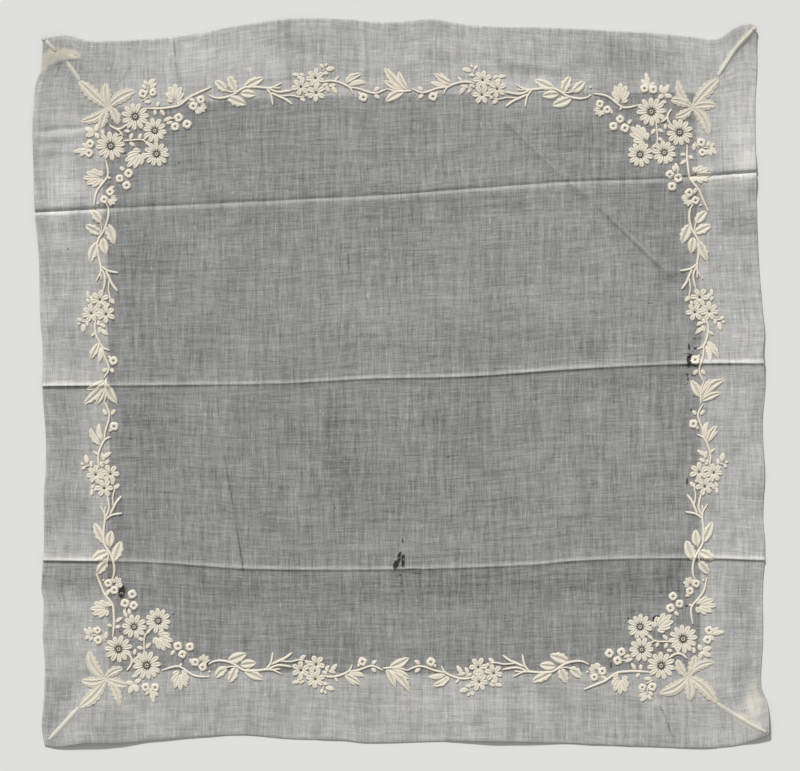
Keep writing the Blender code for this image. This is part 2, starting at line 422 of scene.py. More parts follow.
@dataclass(frozen=True)
class Field:
    """A number that varies over a surface. Sums on it add Math nodes."""

    shade: "Shade"
    socket: bpy.types.NodeSocket

    def _math(self, operation: str, *values: "Field | float") -> "Field":
        """Adds one Math node on this field and the values after it."""
        return self.shade.maths(operation, self, *values)

    def __add__(self, other: "Field | float") -> "Field":
        """self + other."""
        return self._math("ADD", other)

    def __radd__(self, other: float) -> "Field":
        """other + self."""
        return self._math("ADD", other)

    def __sub__(self, other: "Field | float") -> "Field":
        """self - other."""
        return self._math("SUBTRACT", other)

    def __rsub__(self, other: float) -> "Field":
        """other - self."""
        return self.shade.maths("SUBTRACT", other, self)

    def __mul__(self, other: "Field | float") -> "Field":
        """self * other."""
        return self._math("MULTIPLY", other)

    def __rmul__(self, other: float) -> "Field":
        """other * self."""
        return self._math("MULTIPLY", other)

    def __abs__(self) -> "Field":
        """The size of self."""
        return self._math("ABSOLUTE")

    def at_least(self, other: "Field | float") -> "Field":
        """The larger of self and other."""
        return self._math("MAXIMUM", other)

    def at_most(self, other: "Field | float") -> "Field":
        """The smaller of self and other."""
        return self._math("MINIMUM", other)

    def step(self, low: float, high: float) -> "Field":
        """0 below low and 1 above high, or the other way round where high is below low."""
        if high < low:
            return 1.0 - self.step(high, low)
        settings = {"interpolation_type": "SMOOTHSTEP"}
        inputs = {"Value": self, "From Min": low, "From Max": high}
        return self.shade.node("ShaderNodeMapRange", settings, inputs)


class Shade:
    """One material's node tree, with its shader."""

    def __init__(self, name: str, roughness: float, **plain: float | tuple) -> None:
        """Makes a material whose shader has plain values on its own sockets.

        Args:
            name: the material's name.
            roughness: the shader's roughness.
            plain: other shader sockets by name, with _ for a space.
        """
        self.material = bpy.data.materials.new(name)
        self.material.use_nodes = True
        self.tree = self.material.node_tree
        self.shader = self.tree.nodes["Principled BSDF"]
        self.shader.inputs["Roughness"].default_value = roughness
        for socket, value in plain.items():
            self.shader.inputs[socket.replace("_", " ")].default_value = value

    def node(self, kind: str, settings: dict, inputs: dict, output: int | str = 0) -> Field:
        """Adds a node.

        Args:
            kind: the node's type.
            settings: its own properties, set first.
            inputs: values or fields for its sockets, by name or number.
            output: which output to give back.

        Returns:
            That output, as a field.
        """
        node = self.tree.nodes.new(kind)
        for setting, value in settings.items():
            setattr(node, setting, value)
        for name, value in inputs.items():
            if isinstance(value, Field):
                self.tree.links.new(value.socket, node.inputs[name])
            else:
                node.inputs[name].default_value = value
        return Field(self, node.outputs[output])

    def maths(self, operation: str, *values: Field | float) -> Field:
        """Adds a Math node with these values in order."""
        return self.node("ShaderNodeMath", {"operation": operation}, dict(enumerate(values)))

    def vector(self, x: Field | float, y: Field | float, z: Field | float = 0.0) -> Field:
        """Makes a vector of three numbers."""
        return self.node("ShaderNodeCombineXYZ", {}, {"X": x, "Y": y, "Z": z})

    def vectors(self, operation: str, one: Field, other: tuple) -> Field:
        """Adds a Vector Math node that makes one number of two vectors."""
        settings = {"operation": operation}
        return self.node("ShaderNodeVectorMath", settings, {0: one, 1: other}, "Value")

    def noise(self, at: Field, detail: float = 2.0, roughness: float = 0.5) -> Field:
        """Soft noise around 0, from about -0.5 to 0.5, one blot per unit of at."""
        inputs = {"Vector": at, "Scale": 1.0, "Detail": detail, "Roughness": roughness}
        return self.node("ShaderNodeTexNoise", {}, inputs) - 0.5

    def blend(self, mask: Field, below: Field | tuple, above: Field | tuple) -> Field:
        """Mixes two colours: below where mask is 0, above where it is 1."""
        settings = {"data_type": "RGBA", "clamp_factor": True}
        return self.node("ShaderNodeMix", settings, {0: mask, 6: below, 7: above}, output=2)

    def toned(self, colour: Field, tone: Field) -> Field:
        """Darkens or lightens a colour by a factor."""
        inputs = {0: colour, 1: self.vector(tone, tone, tone)}
        return self.node("ShaderNodeVectorMath", {"operation": "MULTIPLY"}, inputs)

    def feed(self, socket: str, value: Field) -> None:
        """Links a field to one of the shader's sockets."""
        self.tree.links.new(value.socket, self.shader.inputs[socket])

    def bump(self, height: Field, distance: float, strength: float) -> None:
        """Feeds a height, in millimetres times distance, to the shader's normal."""
        inputs = {"Height": height, "Distance": distance * MM, "Strength": strength}
        self.feed("Normal", self.node("ShaderNodeBump", {}, inputs))


# --------------------------------------------------------------------------------------------
# Finishes
# --------------------------------------------------------------------------------------------


class Blot(NamedTuple):
    """A mark on the linen: a line from one place to another, its half width and its strength."""

    x1: float
    y1: float
    x2: float
    y2: float
    reach: float
    strength: float


# Broad places of painted light and shade, where the cloth is lighter, above 0, or darker, below,
# such as the shadow band just below the lower fold line.
BROAD_PAINTED_SHADING = (
    Blot(-118, 168, -70, 168, 20, 0.20), Blot(-140, 150, -124, 147, 14, 0.14),
    Blot(52, 147, 92, 147, 16, 0.20), Blot(112, 168, 138, 163, 18, -0.22),
    Blot(176, 140, 178, 116, 14, 0.24), Blot(156, 90, 178, 82, 15, -0.22),
    Blot(-177, 135, -178, 78, 15, 0.16), Blot(-136, 66, -112, 62, 17, -0.14),
    Blot(-30, 43, 80, 43, 22, 0.11), Blot(86, 24, 100, 20, 15, -0.15),
    Blot(110, 1, 142, 3, 13, -0.18), Blot(-176, -14, -176, -62, 20, -0.20),
    Blot(-136, -16, -134, -22, 14, -0.12), Blot(-32, -16, -32, -44, 16, -0.17),
    Blot(-10, -82, 32, -82, 12, 0.12), Blot(-186, -102, -160, -102, 14, -0.28),
    Blot(-150, -106, -20, -108, 12, -0.11), Blot(0, -106, 140, -104, 14, -0.20),
    Blot(128, -82, 142, -80, 12, 0.14), Blot(178, -104, 176, -150, 15, -0.20),
    Blot(8, -144, 34, -142, 14, -0.16), Blot(134, -144, 138, -142, 10, -0.14),
    Blot(-178, -160, -176, -172, 14, -0.20), Blot(-16, -164, -6, -166, 14, -0.14),
    Blot(-58, 150, -30, 130, 10, 0.10), Blot(70, 100, 126, 52, 14, 0.08),
)
# Lines of painted highlight and painted shadow along creases and fold lines, lighter or darker than
# the cloth.
CREASE_HIGHLIGHTS_AND_SHADOWS = (
    Blot(52.5, 138.5, 86, 106, 0.9, 0.20), Blot(86, 106, 99, 96, 0.9, 0.16),
    Blot(100, 95.5, 141, 56, 0.9, 0.22), Blot(98.6, 94.4, 139.6, 54.8, 0.8, -0.20),
    Blot(-118.2, 180, -117.2, 168, 0.8, -0.30), Blot(-117.2, 168, -116, 157.6, 0.8, -0.26),
    Blot(134, -166.6, 138, -175, 0.7, -0.26), Blot(138, -175, 141, -184, 0.7, -0.28),
    Blot(-109, -154, -110, -183, 0.6, 0.14), Blot(-190.3, 130.4, -176.3, 133.1, 1.7, -0.24),
    Blot(-176.3, 133.1, -163, 133.4, 1.5, -0.24), Blot(-190, 119.8, -171, 119.8, 0.8, -0.14),
    Blot(-96, -2, -93, -30, 0.6, -0.22), Blot(-93, -30, -86, -71, 0.6, -0.30),
    Blot(-86, -71, -80.6, -105, 0.7, -0.42), Blot(-20.2, 187, -18, 160, 0.8, 0.14),
    Blot(-150, 152, -139, 166, 1.2, -0.12), Blot(144.6, 8.9, 156, 9.3, 1.0, -0.36),
    Blot(151.5, 22.6, 156.5, 23.2, 1.5, -0.30), Blot(146.2, 15.3, 150.6, 15.3, 0.5, -0.45),
)
# Brown stains near the corners.
STAINS = (
    Blot(-186.0, 163.8, -184, 170, 3.4, 0.70), Blot(-183.4, 168, -180, 171, 4.8, 0.75),
    Blot(-179, 170.6, -173, 170.8, 3.8, 0.80), Blot(-174, 171.2, -168.4, 170.6, 2.8, 0.85),
    Blot(183, -158, 183.5, -174, 4.4, 0.50),
    Blot(172, -171, 188, -180, 3.0, 0.4), Blot(174, 174, 183, 183, 2.6, 0.5),
    Blot(-79, 163, -78.5, 163, 1.6, 0.5),
)
# Dark specks, slits and lines; the first three are a painted shadow line under the top left
# corner's cream arch.
SOIL_AND_SHADOW_MARKS = (
    # painted shadow: a thin line under the top left corner's cream arch
    Blot(-184.6, 161.6, -180.2, 164.6, 0.8, 0.16), Blot(-180.2, 164.6, -174, 167.4, 0.8, 0.16),
    Blot(-174, 167.4, -168, 167.8, 0.8, 0.22), Blot(-170.2, 170.4, -168, 170.4, 0.5, 0.35),
    Blot(-146.6, 137.3, -146.2, 137, 0.9, 0.8), Blot(-143.5, 119.8, -143.3, 119.2, 0.8, 0.8),
    Blot(24.5, -38.5, 24.6, -38.5, 0.6, 0.8), Blot(-34.3, -65, -34.2, -65, 0.6, 0.8),
    Blot(-173, 69.7, -173, 69.6, 0.7, 0.6), Blot(-115.4, 114.4, -115.2, 114.4, 0.6, 0.8),
    Blot(0.9, -80.8, 0.9, -83.0, 0.6, 0.75), Blot(-0.4, -99.6, -0.3, -99.8, 0.7, 0.8),
    Blot(151.6, -7, 152.6, -7, 0.5, 0.6), Blot(150.1, 14.8, 150.5, 14.2, 0.9, 0.9),
    Blot(148.6, 9.4, 149.4, 8.4, 0.6, 0.7), Blot(147.6, 5.4, 149.6, 2.2, 0.5, 0.5),
    Blot(0.2, -104.1, 0.3, -104.3, 0.6, 0.7), Blot(0.7, -108.1, 0.8, -108.3, 0.6, 0.7),
    Blot(-99.8, 149.6, -99.4, 149.8, 0.7, 0.8), Blot(149.6, 20.2, 149.8, 17.4, 0.75, 0.85),
    Blot(152.9, 18.0, 153, 17.6, 0.8, 0.8), Blot(151.3, 14.4, 151.5, 13.6, 0.9, 0.8),
    Blot(148.8, 4.6, 149.0, 4.2, 0.8, 0.8), Blot(151.5, 4.2, 151.7, 3.8, 0.8, 0.8),
    Blot(149.0, 2.0, 149.2, 1.6, 0.8, 0.8), Blot(152, 23.2, 153, 23.2, 0.5, 0.7),
    Blot(150.8, -13.6, 150.8, -14.4, 0.7, 0.7), Blot(1.6, -96.7, 10.4, -96.7, 0.5, 0.65),
    Blot(3.6, -98.8, 12, -98.9, 0.5, 0.6), Blot(109.2, -145.2, 109.2, -148.4, 0.6, 0.85),
    Blot(118, -122.2, 118.2, -122.4, 0.8, 0.8), Blot(140.9, -123.3, 141.1, -123.4, 0.8, 0.8),
    Blot(148.4, -115.8, 148.6, -116, 0.9, 0.85), Blot(143, -147.7, 143.2, -147.8, 0.8, 0.8),
    Blot(-100.3, -144.6, -100.2, -147.4, 0.75, 0.85),
    Blot(-113.4, -144.6, -113.2, -144.7, 0.7, 0.7),
    Blot(-118.6, -120.2, -118.4, -120.3, 0.7, 0.7), Blot(-146.1, -129, -146, -129.1, 0.7, 0.7),
    Blot(145.8, 108.2, 146, 104, 0.65, 0.85), Blot(148.7, -49.6, 148.7, -52.6, 0.8, 0.8),
    Blot(-147.2, -9.9, -147.1, -10.2, 0.7, 0.7), Blot(128.5, 41.6, 130.6, 41.6, 0.5, 0.5),
    Blot(4.6, 148.4, 4.6, 146.2, 1.1, 0.35),
)


class Unevenness(NamedTuple):
    """One scale of the weave's unevenness: how fine it is each way, and its noise's settings."""

    across: float
    up: float
    seed: float
    detail: float
    roughness: float = 0.5

    def over(self, shade: Shade, x: Field, y: Field) -> Field:
        """The noise over given places, around 0."""
        at = shade.vector(x * self.across, y * self.up, self.seed)
        return shade.noise(at, self.detail, self.roughness)


WAVER = Unevenness(0.012, 0.012, 0.0, 2.0)  # how the weft wavers
DRIFT = Unevenness(0.02, 0.006, 4.0, 1.0)  # how the warp drifts
WARP = Unevenness(0.42, 0.026, 0.0, 3.0, 0.7)
WARP_FINE = Unevenness(1.25, 0.085, 2.0, 2.0, 0.7)
WEFT = Unevenness(0.026, 0.44, 5.0, 3.0, 0.7)
WEFT_FINE = Unevenness(0.095, 1.3, 7.0, 2.0, 0.7)
GRAIN = Unevenness(0.9, 0.9, 8.0, 2.0, 0.7)
SLUB = Unevenness(0.9, 0.2, 9.0, 1.0)  # thick places in single threads
SLUB_WEFT = Unevenness(0.2, 1.0, 11.0, 1.0)
CLOUD = Unevenness(0.013, 0.009, 13.0, 2.0)
MOTTLED = Unevenness(0.09, 0.07, 15.0, 3.0, 0.6)
STAIN_MOTTLED = Unevenness(0.25, 0.25, 17.0, 3.0)


@dataclass(frozen=True)
class LinenFinish:
    """Sheer linen: uneven threads both ways, lighter where the hem doubles it, with its stains, and
    painted light and shade on its folds, creases, edge and broad places.
    """

    sheer: tuple = (0.290, 0.288, 0.279, 1.0)
    doubled: tuple = (0.440, 0.434, 0.414, 1.0)
    stained: tuple = (0.78, 0.72, 0.58, 1.0)
    soil_and_shadow: tuple = (0.012, 0.011, 0.010, 1.0)
    cover: float = 0.90  # how much of the surface the threads of one layer cover
    waver: float = 5.0  # how far the weft strays, in millimetres
    drift: float = 1.6  # and the warp
    # painted light: the cloth is painted lighter towards its right and top edges
    side_light: float = 0.03  # how much lighter the cloth is at its right and top edges
    hem_calm: float = 0.30  # how much less uneven the doubled hem is
    # painted highlight along the cloth's outer edge, where it rolls over
    painted_edge_highlight: float = 0.14  # how much lighter its rolled edge is
    # painted highlight and painted shadow along the fold lines
    lit: float = 0.40  # how much lighter a fold line is on its lit side
    unlit: float = 0.26  # and darker on its other side
    unlit_sunk: float = 0.08  # the same for the sunk line
    roughness: float = 0.9

    def blots(
        self, shade: Shade, form: ClothForm, place: Field, marks: Sequence[Blot], join: str
    ) -> Field:
        """Marks as one mask.

        Args:
            shade: the material.
            form: how the cloth lies, for where on the cut cloth each mark is.
            place: the place on the cut cloth, across and up, with 1 as its third number.
            marks: the marks.
            join: the sum that joins two marks where they cross.

        Returns:
            Each mark's strength at its middle, falling to 0 at its reach.
        """
        total: Field | float = 0.0
        starts = form.unplaced(np.array([m.x1 for m in marks]), np.array([m.y1 for m in marks]))
        ends = form.unplaced(np.array([m.x2 for m in marks]), np.array([m.y2 for m in marks]))
        for mark, x1, y1, x2, y2 in zip(marks, *starts, *ends, strict=True):
            run_x, run_y = float(x2 - x1), float(y2 - y1)
            length, reach = math.hypot(run_x, run_y), mark.reach
            middle = (float(x1 + x2) / 2, float(y1 + y2) / 2)
            if length < DOT_LENGTH:
                away = shade.vectors("DISTANCE", place, (*middle, 1.0))
                squared = away * away * (1 / reach**2)
            else:
                along = (run_x / length, run_y / length)
                long_way = length / 2 + reach
                shares = []
                for turn, size in ((along, long_way), ((-along[1], along[0]), reach)):
                    behind = turn[0] * middle[0] + turn[1] * middle[1]
                    line = (turn[0] / size, turn[1] / size, -behind / size)
                    shares.append(shade.vectors("DOT_PRODUCT", place, line))
                squared = shares[0] * shares[0] + shares[1] * shares[1]
            settings = {"interpolation_type": "SMOOTHSTEP"}
            inputs = {"Value": squared, "From Min": 0.16, "From Max": 1.0,
                      "To Min": mark.strength, "To Max": 0.0}
            here = shade.node("ShaderNodeMapRange", settings, inputs)
            total = shade.maths(join, here, total)
        return total

    def painted_fold_light(self, shade: Shade, x: Field, y: Field) -> Field:
        """How much lighter each fold line is painted on its lit side, and darker on the other: a
        painted highlight and a painted shadow.

        Args:
            shade: the material.
            x: place across the cut cloth.
            y: place up it, where each fold line runs level.

        Returns:
            The change of tone, around 0.
        """
        total: Field | float = 0.0
        for level in FOLD_LINES:
            lit = (level - y) if level == SUNK_LEVEL else (y - level)
            uneven = shade.noise(shade.vector(x * 0.05, level), 3.0) * 1.2 + 1.0
            crest = lit.step(-0.25, 0.1) * lit.step(2.6, 0.5) * self.lit
            dark = self.unlit_sunk if level == SUNK_LEVEL else self.unlit
            shadow = lit.step(-1.9, -0.9) * lit.step(0.0, -0.35) * dark
            total = (crest - shadow) * uneven + total
        return total

    def made(self, form: ClothForm, cut_side: float, hem: "HemDepths") -> bpy.types.Material:
        """Builds the material.

        Args:
            form: how the cloth lies.
            cut_side: side of the square that the cloth's map covers, in millimetres.
            hem: where the hem's inner edges are.

        Returns:
            The material.
        """
        shade = Shade("linen_plain_weave", self.roughness, Specular_IOR_Level=0.12)
        here = shade.node("ShaderNodeUVMap", {"uv_map": CUT_MAP}, {})
        x = (shade.node("ShaderNodeSeparateXYZ", {}, {0: here}, "X") - 0.5) * cut_side
        y = (shade.node("ShaderNodeSeparateXYZ", {}, {0: here}, "Y") - 0.5) * cut_side

        wavering = y + WAVER.over(shade, x, y) * self.waver
        drifting = x + DRIFT.over(shade, x, y) * self.drift
        warp, warp_fine = WARP.over(shade, drifting, y), WARP_FINE.over(shade, drifting, y)
        weft, weft_fine = WEFT.over(shade, x, wavering), WEFT_FINE.over(shade, x, wavering)
        grain = GRAIN.over(shade, x, y)
        slub = SLUB.over(shade, x, y).step(0.17, 0.24)
        slub_weft = SLUB_WEFT.over(shade, x, y).step(0.19, 0.25)
        cloud, mottled = CLOUD.over(shade, x, y), MOTTLED.over(shade, x, y)

        across = abs(x - hem.middle_x) - hem.half_x
        upward = abs(y - hem.middle_y) - hem.half_y
        doubled = across.at_least(upward).step(-0.9, 1.0)
        to_edge = abs(x).at_least(abs(y)) - hem.half_side
        painted_edge_highlight = to_edge.step(-1.0, -0.3) * self.painted_edge_highlight
        thread = warp * 0.95 + warp_fine * 1.0 + weft * 0.80 + weft_fine * 1.0 + grain * 0.45
        strength = 1.0 - doubled * self.hem_calm
        slubs = (slub * 0.40 + slub_weft * 0.28) * strength
        mottling = mottled * (0.30 + doubled * 0.28) + cloud * 0.46
        # painted light, lighter towards the right and top
        side_light = 1.0 + (x + y) * (self.side_light / hem.half_side)
        # painted highlight and painted shadow along the fold lines
        worn = self.painted_fold_light(shade, x, y)
        shaded = shade.node(
            "ShaderNodeAttribute", {"attribute_name": SHADED, "attribute_type": "GEOMETRY"}, {},
            "Fac",
        )
        place = shade.vector(x, y, 1.0)
        # painted highlights and shadows along creases, with the broad painted light and shade
        painted_light_and_shade = self.blots(shade, form, place, CREASE_HIGHLIGHTS_AND_SHADOWS, "ADD") + shaded
        tone = 1.0 + thread * strength + slubs + mottling + painted_edge_highlight + worn + painted_light_and_shade
        tone = tone * side_light

        colour = shade.blend(doubled, self.sheer, self.doubled)
        colour = shade.toned(colour, tone)
        mottle = 0.95 + STAIN_MOTTLED.over(shade, x, y) * 1.3
        stain = self.blots(shade, form, place, STAINS, "MAXIMUM") * mottle
        colour = shade.blend(stain, colour, self.stained)
        # dark specks, slits and hole edges, and painted shadow lines
        marks = (*SOIL_AND_SHADOW_MARKS, *(tear.rim() for tear in TEARS))
        soil_and_shadow = self.blots(shade, form, place, marks, "MAXIMUM")
        shade.feed("Base Color", shade.blend(soil_and_shadow, colour, self.soil_and_shadow))

        cover = self.cover + thread * 0.08 * strength + doubled * 0.06
        shade.feed("Alpha", cover.at_most(1.0))
        weave = warp_fine * 0.5 + weft_fine * 0.5 + warp * 0.3 + weft * 0.3 + slub * 0.4
        shade.bump(weave, 0.25, 0.55)
        return shade.material


@dataclass(frozen=True)
class StitchFinish:
    """Cream stitching: soft lustre, fine parallel threads, and painted shade where it meets the
    cloth.
    """

    name: str = "whitework_cotton"
    crown: tuple = (0.86, 0.80, 0.68, 1.0)
    worn: tuple = (0.74, 0.665, 0.52, 1.0)
    # painted shade: the colour at a stitch's foot, in its grooves and in pierced holes
    foot: tuple = (0.085, 0.078, 0.066, 1.0)
    thread_pitch: float = 0.95
    roughness: float = 0.72

    def made(self) -> bpy.types.Material:
        """Builds the material."""
        shade = Shade(
            self.name, self.roughness, Sheen_Weight=0.15, Sheen_Roughness=0.5,
            Specular_IOR_Level=0.25,
        )
        here = shade.node("ShaderNodeUVMap", {"uv_map": STITCH_MAP}, {})
        along = shade.node("ShaderNodeSeparateXYZ", {}, {0: here}, "X")
        across = shade.node("ShaderNodeSeparateXYZ", {}, {0: here}, "Y")
        tone = shade.node(
            "ShaderNodeAttribute", {"attribute_name": TONE, "attribute_type": "GEOMETRY"}, {}, "Fac"
        )
        slant = (along + abs(across) * 0.6) * (math.tau / self.thread_pitch)
        thread = shade.maths("SINE", slant)
        patch = shade.noise(shade.vector(along * 0.35, across * 0.35), 3.0)
        # worn patches at random, with more of the worn colour where painted shade falls
        worn = (patch * 1.6 + 0.25 + (1.0 - tone) * 0.2).at_least(0.0).at_most(1.0)
        colour = shade.blend(worn, self.crown, self.worn)
        # painted shade: towards the dark foot colour where the tone is low
        colour = shade.blend(tone + thread * 0.09, self.foot, colour)
        shade.feed("Base Color", colour)
        shade.bump(thread * 0.5 + patch * 0.5, 0.12, 0.5)
        return shade.material


WHITEWORK_THREAD = StitchFinish()
SEAM_THREAD = StitchFinish("seam_thread", (0.66, 0.63, 0.54, 1.0), (0.56, 0.53, 0.45, 1.0))
FRAYED_THREAD = StitchFinish(
    "frayed_linen", (0.40, 0.39, 0.36, 1.0), (0.34, 0.33, 0.30, 1.0), (0.010, 0.010, 0.009, 1.0)
)


@dataclass(frozen=True)
class FloorFinish:
    """A plain pale matte floor."""

    colour: tuple = (0.745, 0.74, 0.725, 1.0)

    def made(self) -> bpy.types.Material:
        """Builds the material."""
        shade = Shade("pale_floor", 0.95, Specular_IOR_Level=0.1)
        shade.shader.inputs["Base Color"].default_value = self.colour
        return shade.material


# --------------------------------------------------------------------------------------------
# The linen
# --------------------------------------------------------------------------------------------


@dataclass(frozen=True)
class Tear:
    """A worn hole: an upright oval, leaning a little, with a ragged rim."""

    x: float
    y: float
    half_x: float
    half_y: float
    lean: float = 0.0  # how far its top leans to the right for each millimetre up

    def depth(self, x: np.ndarray, y: np.ndarray, ragged: float = 0.22) -> np.ndarray:
        """How deep places lie in the hole: 1 in its middle, 0 on its rim, below 0 outside."""
        off_x, off_y = x - self.x - (y - self.y) * self.lean, y - self.y
        turn = np.arctan2(off_y / self.half_y, off_x / self.half_x)
        uneven = 1 + ragged * np.sin(5 * turn + self.x) * np.sin(2.3 * turn + self.y)
        return 1 - np.hypot(off_x / self.half_x, off_y / self.half_y) / uneven

    def rim(self) -> Blot:
        """The dark edge of the hole, as a mark on the linen."""
        run = max(self.half_y - 0.5 * self.half_x, 0.2)
        lean = run * self.lean
        reach = self.half_x + 0.6
        return Blot(self.x - lean, self.y - run, self.x + lean, self.y + run, reach, 1.0)


TEARS = (
    Tear(-0.9, -90.6, 1.0, 2.4, 0.30), Tear(-2.6, -94.4, 1.2, 1.8, 0.3),
    Tear(1.1, -92.4, 0.7, 3.5, 0.06), Tear(149.7, 12.0, 0.9, 2.2),
    Tear(-145.1, -108.2, 1.5, 3.5, 0.05), Tear(132.8, -122.6, 2.0, 1.3),
)


@dataclass(frozen=True)
class HemDepths:
    """How deep the hem is turned under along each side."""

    left: float = 33.8
    right: float = 31.6
    top: float = 36.8
    bottom: float = 36.0
    half_side: float = 186.0

    @property
    def middle_x(self) -> float:
        """Middle of the single layer, across."""
        return (self.left - self.right) / 2

    @property
    def middle_y(self) -> float:
        """Middle of the single layer, up."""
        return (self.bottom - self.top) / 2

    @property
    def half_x(self) -> float:
        """Half the single layer's width."""
        return self.half_side - (self.left + self.right) / 2

    @property
    def half_y(self) -> float:
        """Half the single layer's height."""
        return self.half_side - (self.top + self.bottom) / 2


@dataclass
class LinenSquare:
    """The cloth itself: one thin sheet, cut flat, pierced by wear, and folded under at its hem."""

    form: ClothForm
    hem: HemDepths = field(default_factory=HemDepths)
    finish: LinenFinish = field(default_factory=LinenFinish)
    spacing: float = 1.55
    face_height: float = 0.62  # the upper layer over the surface, where the cloth lies flat
    hem_height: float = 0.14  # and the layer that is folded under it
    tear_cuts: int = 3
    edge_strip: float = 0.35
    beside_fold: tuple[float, ...] = (-4.2, -2.9, -1.9, -1.2, -0.6, 0.0, 0.6, 1.2, 2.0, 3.0, 4.2)
    cut_margin: float = 3.0  # of the map around the cut cloth

    @property
    def cut_half(self) -> float:
        """Half the side of the square that holds the cut cloth and its margin."""
        deepest = max(self.hem.left, self.hem.right, self.hem.top, self.hem.bottom)
        return self.form.half_side + deepest + self.cut_margin

    def columns(self) -> np.ndarray:
        """Where the sheet's columns lie: evenly, with a narrow strip along each edge."""
        half = self.form.half_side
        even = np.linspace(-half, half, round(2 * half / self.spacing) + 1)
        return np.concatenate((even[:1], [self.edge_strip - half], even[1:-1],
                               [half - self.edge_strip], even[-1:]))

    def rows(self) -> np.ndarray:
        """Where its rows lie: evenly, but close together beside each fold line."""
        levels = np.array(sorted(FOLD_LINES))
        plain = self.columns()
        clear = np.abs(plain[:, None] - levels[None, :]).min(axis=1) > max(self.beside_fold) + 0.6
        close = (levels[:, None] + np.array(self.beside_fold)[None, :]).ravel()
        return np.sort(np.concatenate((plain[clear], close)))

    def flap(self, side: "Side", places: np.ndarray, depth: float) -> np.ndarray:
        """One turned-under strip as it was cut, with mitred ends.

        Args:
            side: which side of the cloth it is on.
            places: where the sheet's own rows or columns meet that side.
            depth: how deep the strip is.

        Returns:
            Points in rows from the fold to the raw edge, two numbers each.
        """
        half = self.form.half_side
        steps = np.linspace(0, depth, round(depth / self.spacing) + 1)
        strip = np.empty((len(steps), len(places), 2))
        for n, step in enumerate(steps):
            strip[n, :, 0] = places * (half - step) / half
            strip[n, :, 1] = half + step
        return side.turned(strip)

    def cut_cloth(self) -> bmesh.types.BMesh:
        """The whole cloth as it was cut, flat, in millimetres, with the worn holes opened."""
        columns, rows = self.columns(), self.rows()
        points = [np.stack(np.meshgrid(columns, rows), axis=-1)]
        hem = self.hem
        points.append(self.flap(Side.TOP, columns, hem.top))
        points.append(self.flap(Side.BOTTOM, -columns[::-1], hem.bottom))
        points.append(self.flap(Side.RIGHT, -rows[::-1], hem.right))
        points.append(self.flap(Side.LEFT, rows, hem.left))
        cloth = bmesh.new()
        for grid in points:
            made = [[cloth.verts.new((*point, 0.0)) for point in line] for line in grid]
            for low, high in zip(made, made[1:], strict=False):
                for a, b, c, d in zip(low, low[1:], high[1:], high, strict=False):
                    cloth.faces.new((a, b, c, d))
        bmesh.ops.remove_doubles(cloth, verts=cloth.verts, dist=0.01)
        bmesh.ops.recalc_face_normals(cloth, faces=cloth.faces)
        self.open_tears(cloth)
        return cloth

    def open_tears(self, cloth: bmesh.types.BMesh) -> None:
        """Cuts the worn holes into the flat cloth, on a finer mesh around each."""

        def depths(faces: Sequence) -> np.ndarray:
            """How deep each face's middle lies in the hole that it is deepest in."""
            middles = np.array([face.calc_center_median()[:2] for face in faces])
            across, up = middles[:, 0], middles[:, 1]
            x, y = self.form.placed(across, up)
            inside = (np.abs(across) < self.form.half_side) & (np.abs(up) < self.form.half_side)
            deepest = np.max([tear.depth(x, y) for tear in TEARS], axis=0)
            return np.where(inside, deepest, -9.0)

        def distances(faces: Sequence) -> np.ndarray:
            """How far each face's middle is from the nearest hole's middle."""
            middles = np.array([face.calc_center_median()[:2] for face in faces])
            x, y = self.form.placed(middles[:, 0], middles[:, 1])
            away = [np.hypot(x - t.x, y - t.y) - max(t.half_x, t.half_y) for t in TEARS]
            return np.min(away, axis=0)

        faces = list(cloth.faces)
        near = [face for face, away in zip(faces, distances(faces), strict=True) if away < 2.2]
        edges = {edge for face in near for edge in face.edges}
        bmesh.ops.subdivide_edges(
            cloth, edges=list(edges), cuts=self.tear_cuts, use_grid_fill=True
        )
        faces = list(cloth.faces)
        inside = [face for face, depth in zip(faces, depths(faces), strict=True) if depth > 0]
        bmesh.ops.delete(cloth, geom=inside, context="FACES")

    def flat_fold(self, cut: np.ndarray) -> tuple[np.ndarray, np.ndarray]:
        """Folds the cut cloth's hem under, flat.

        Args:
            cut: points of the cut cloth, in millimetres.

        Returns:
            The points on the plain square, and how far past the fold each was.
        """
        half = self.form.half_side
        beyond = np.maximum(np.abs(cut) - half, 0.0)
        flat = np.sign(cut) * (np.minimum(np.abs(cut), half) - beyond)
        return flat, beyond.max(axis=1)

    def painted_broad_shading(self, cut: np.ndarray) -> np.ndarray:
        """How much lighter or darker than its finish the cloth is painted at its points, as broad
        painted light and shade.
        """
        flat, _ = self.flat_fold(cut)
        x, y = self.form.placed(flat[:, 0], flat[:, 1])
        tone = np.zeros(len(cut))
        for mark in BROAD_PAINTED_SHADING:
            route = ((mark.x1, mark.y1), (mark.x2, mark.y2))
            distance, _ = distance_to_route(x, y, route)
            tone += mark.strength * fade(distance, mark.reach)
        return tone

    def folded(self, cut: np.ndarray) -> np.ndarray:
        """Folds the cut cloth's hem under and lays the cloth down.

        Args:
            cut: points of the cut cloth, flat, in millimetres.

        Returns:
            The same points in the part's frame, in metres.
        """
        half = self.form.half_side
        flat, turned_under = self.flat_fold(cut)
        x, y = self.form.placed(flat[:, 0], flat[:, 1])
        height = np.where(turned_under > 0, self.hem_height, self.face_height)
        edge = np.abs(np.abs(cut).max(axis=1) - half) < 0.01
        height = np.where(edge, (self.face_height + self.hem_height) / 2, height)
        lift = self.form.lift(flat[:, 0], flat[:, 1], x, y)
        curl = np.max([fade(tear.depth(x, y), 1.2) for tear in TEARS], axis=0)
        curl = 0.5 * curl * (turned_under == 0)
        return self.form.framed(x, y, height + lift + curl)

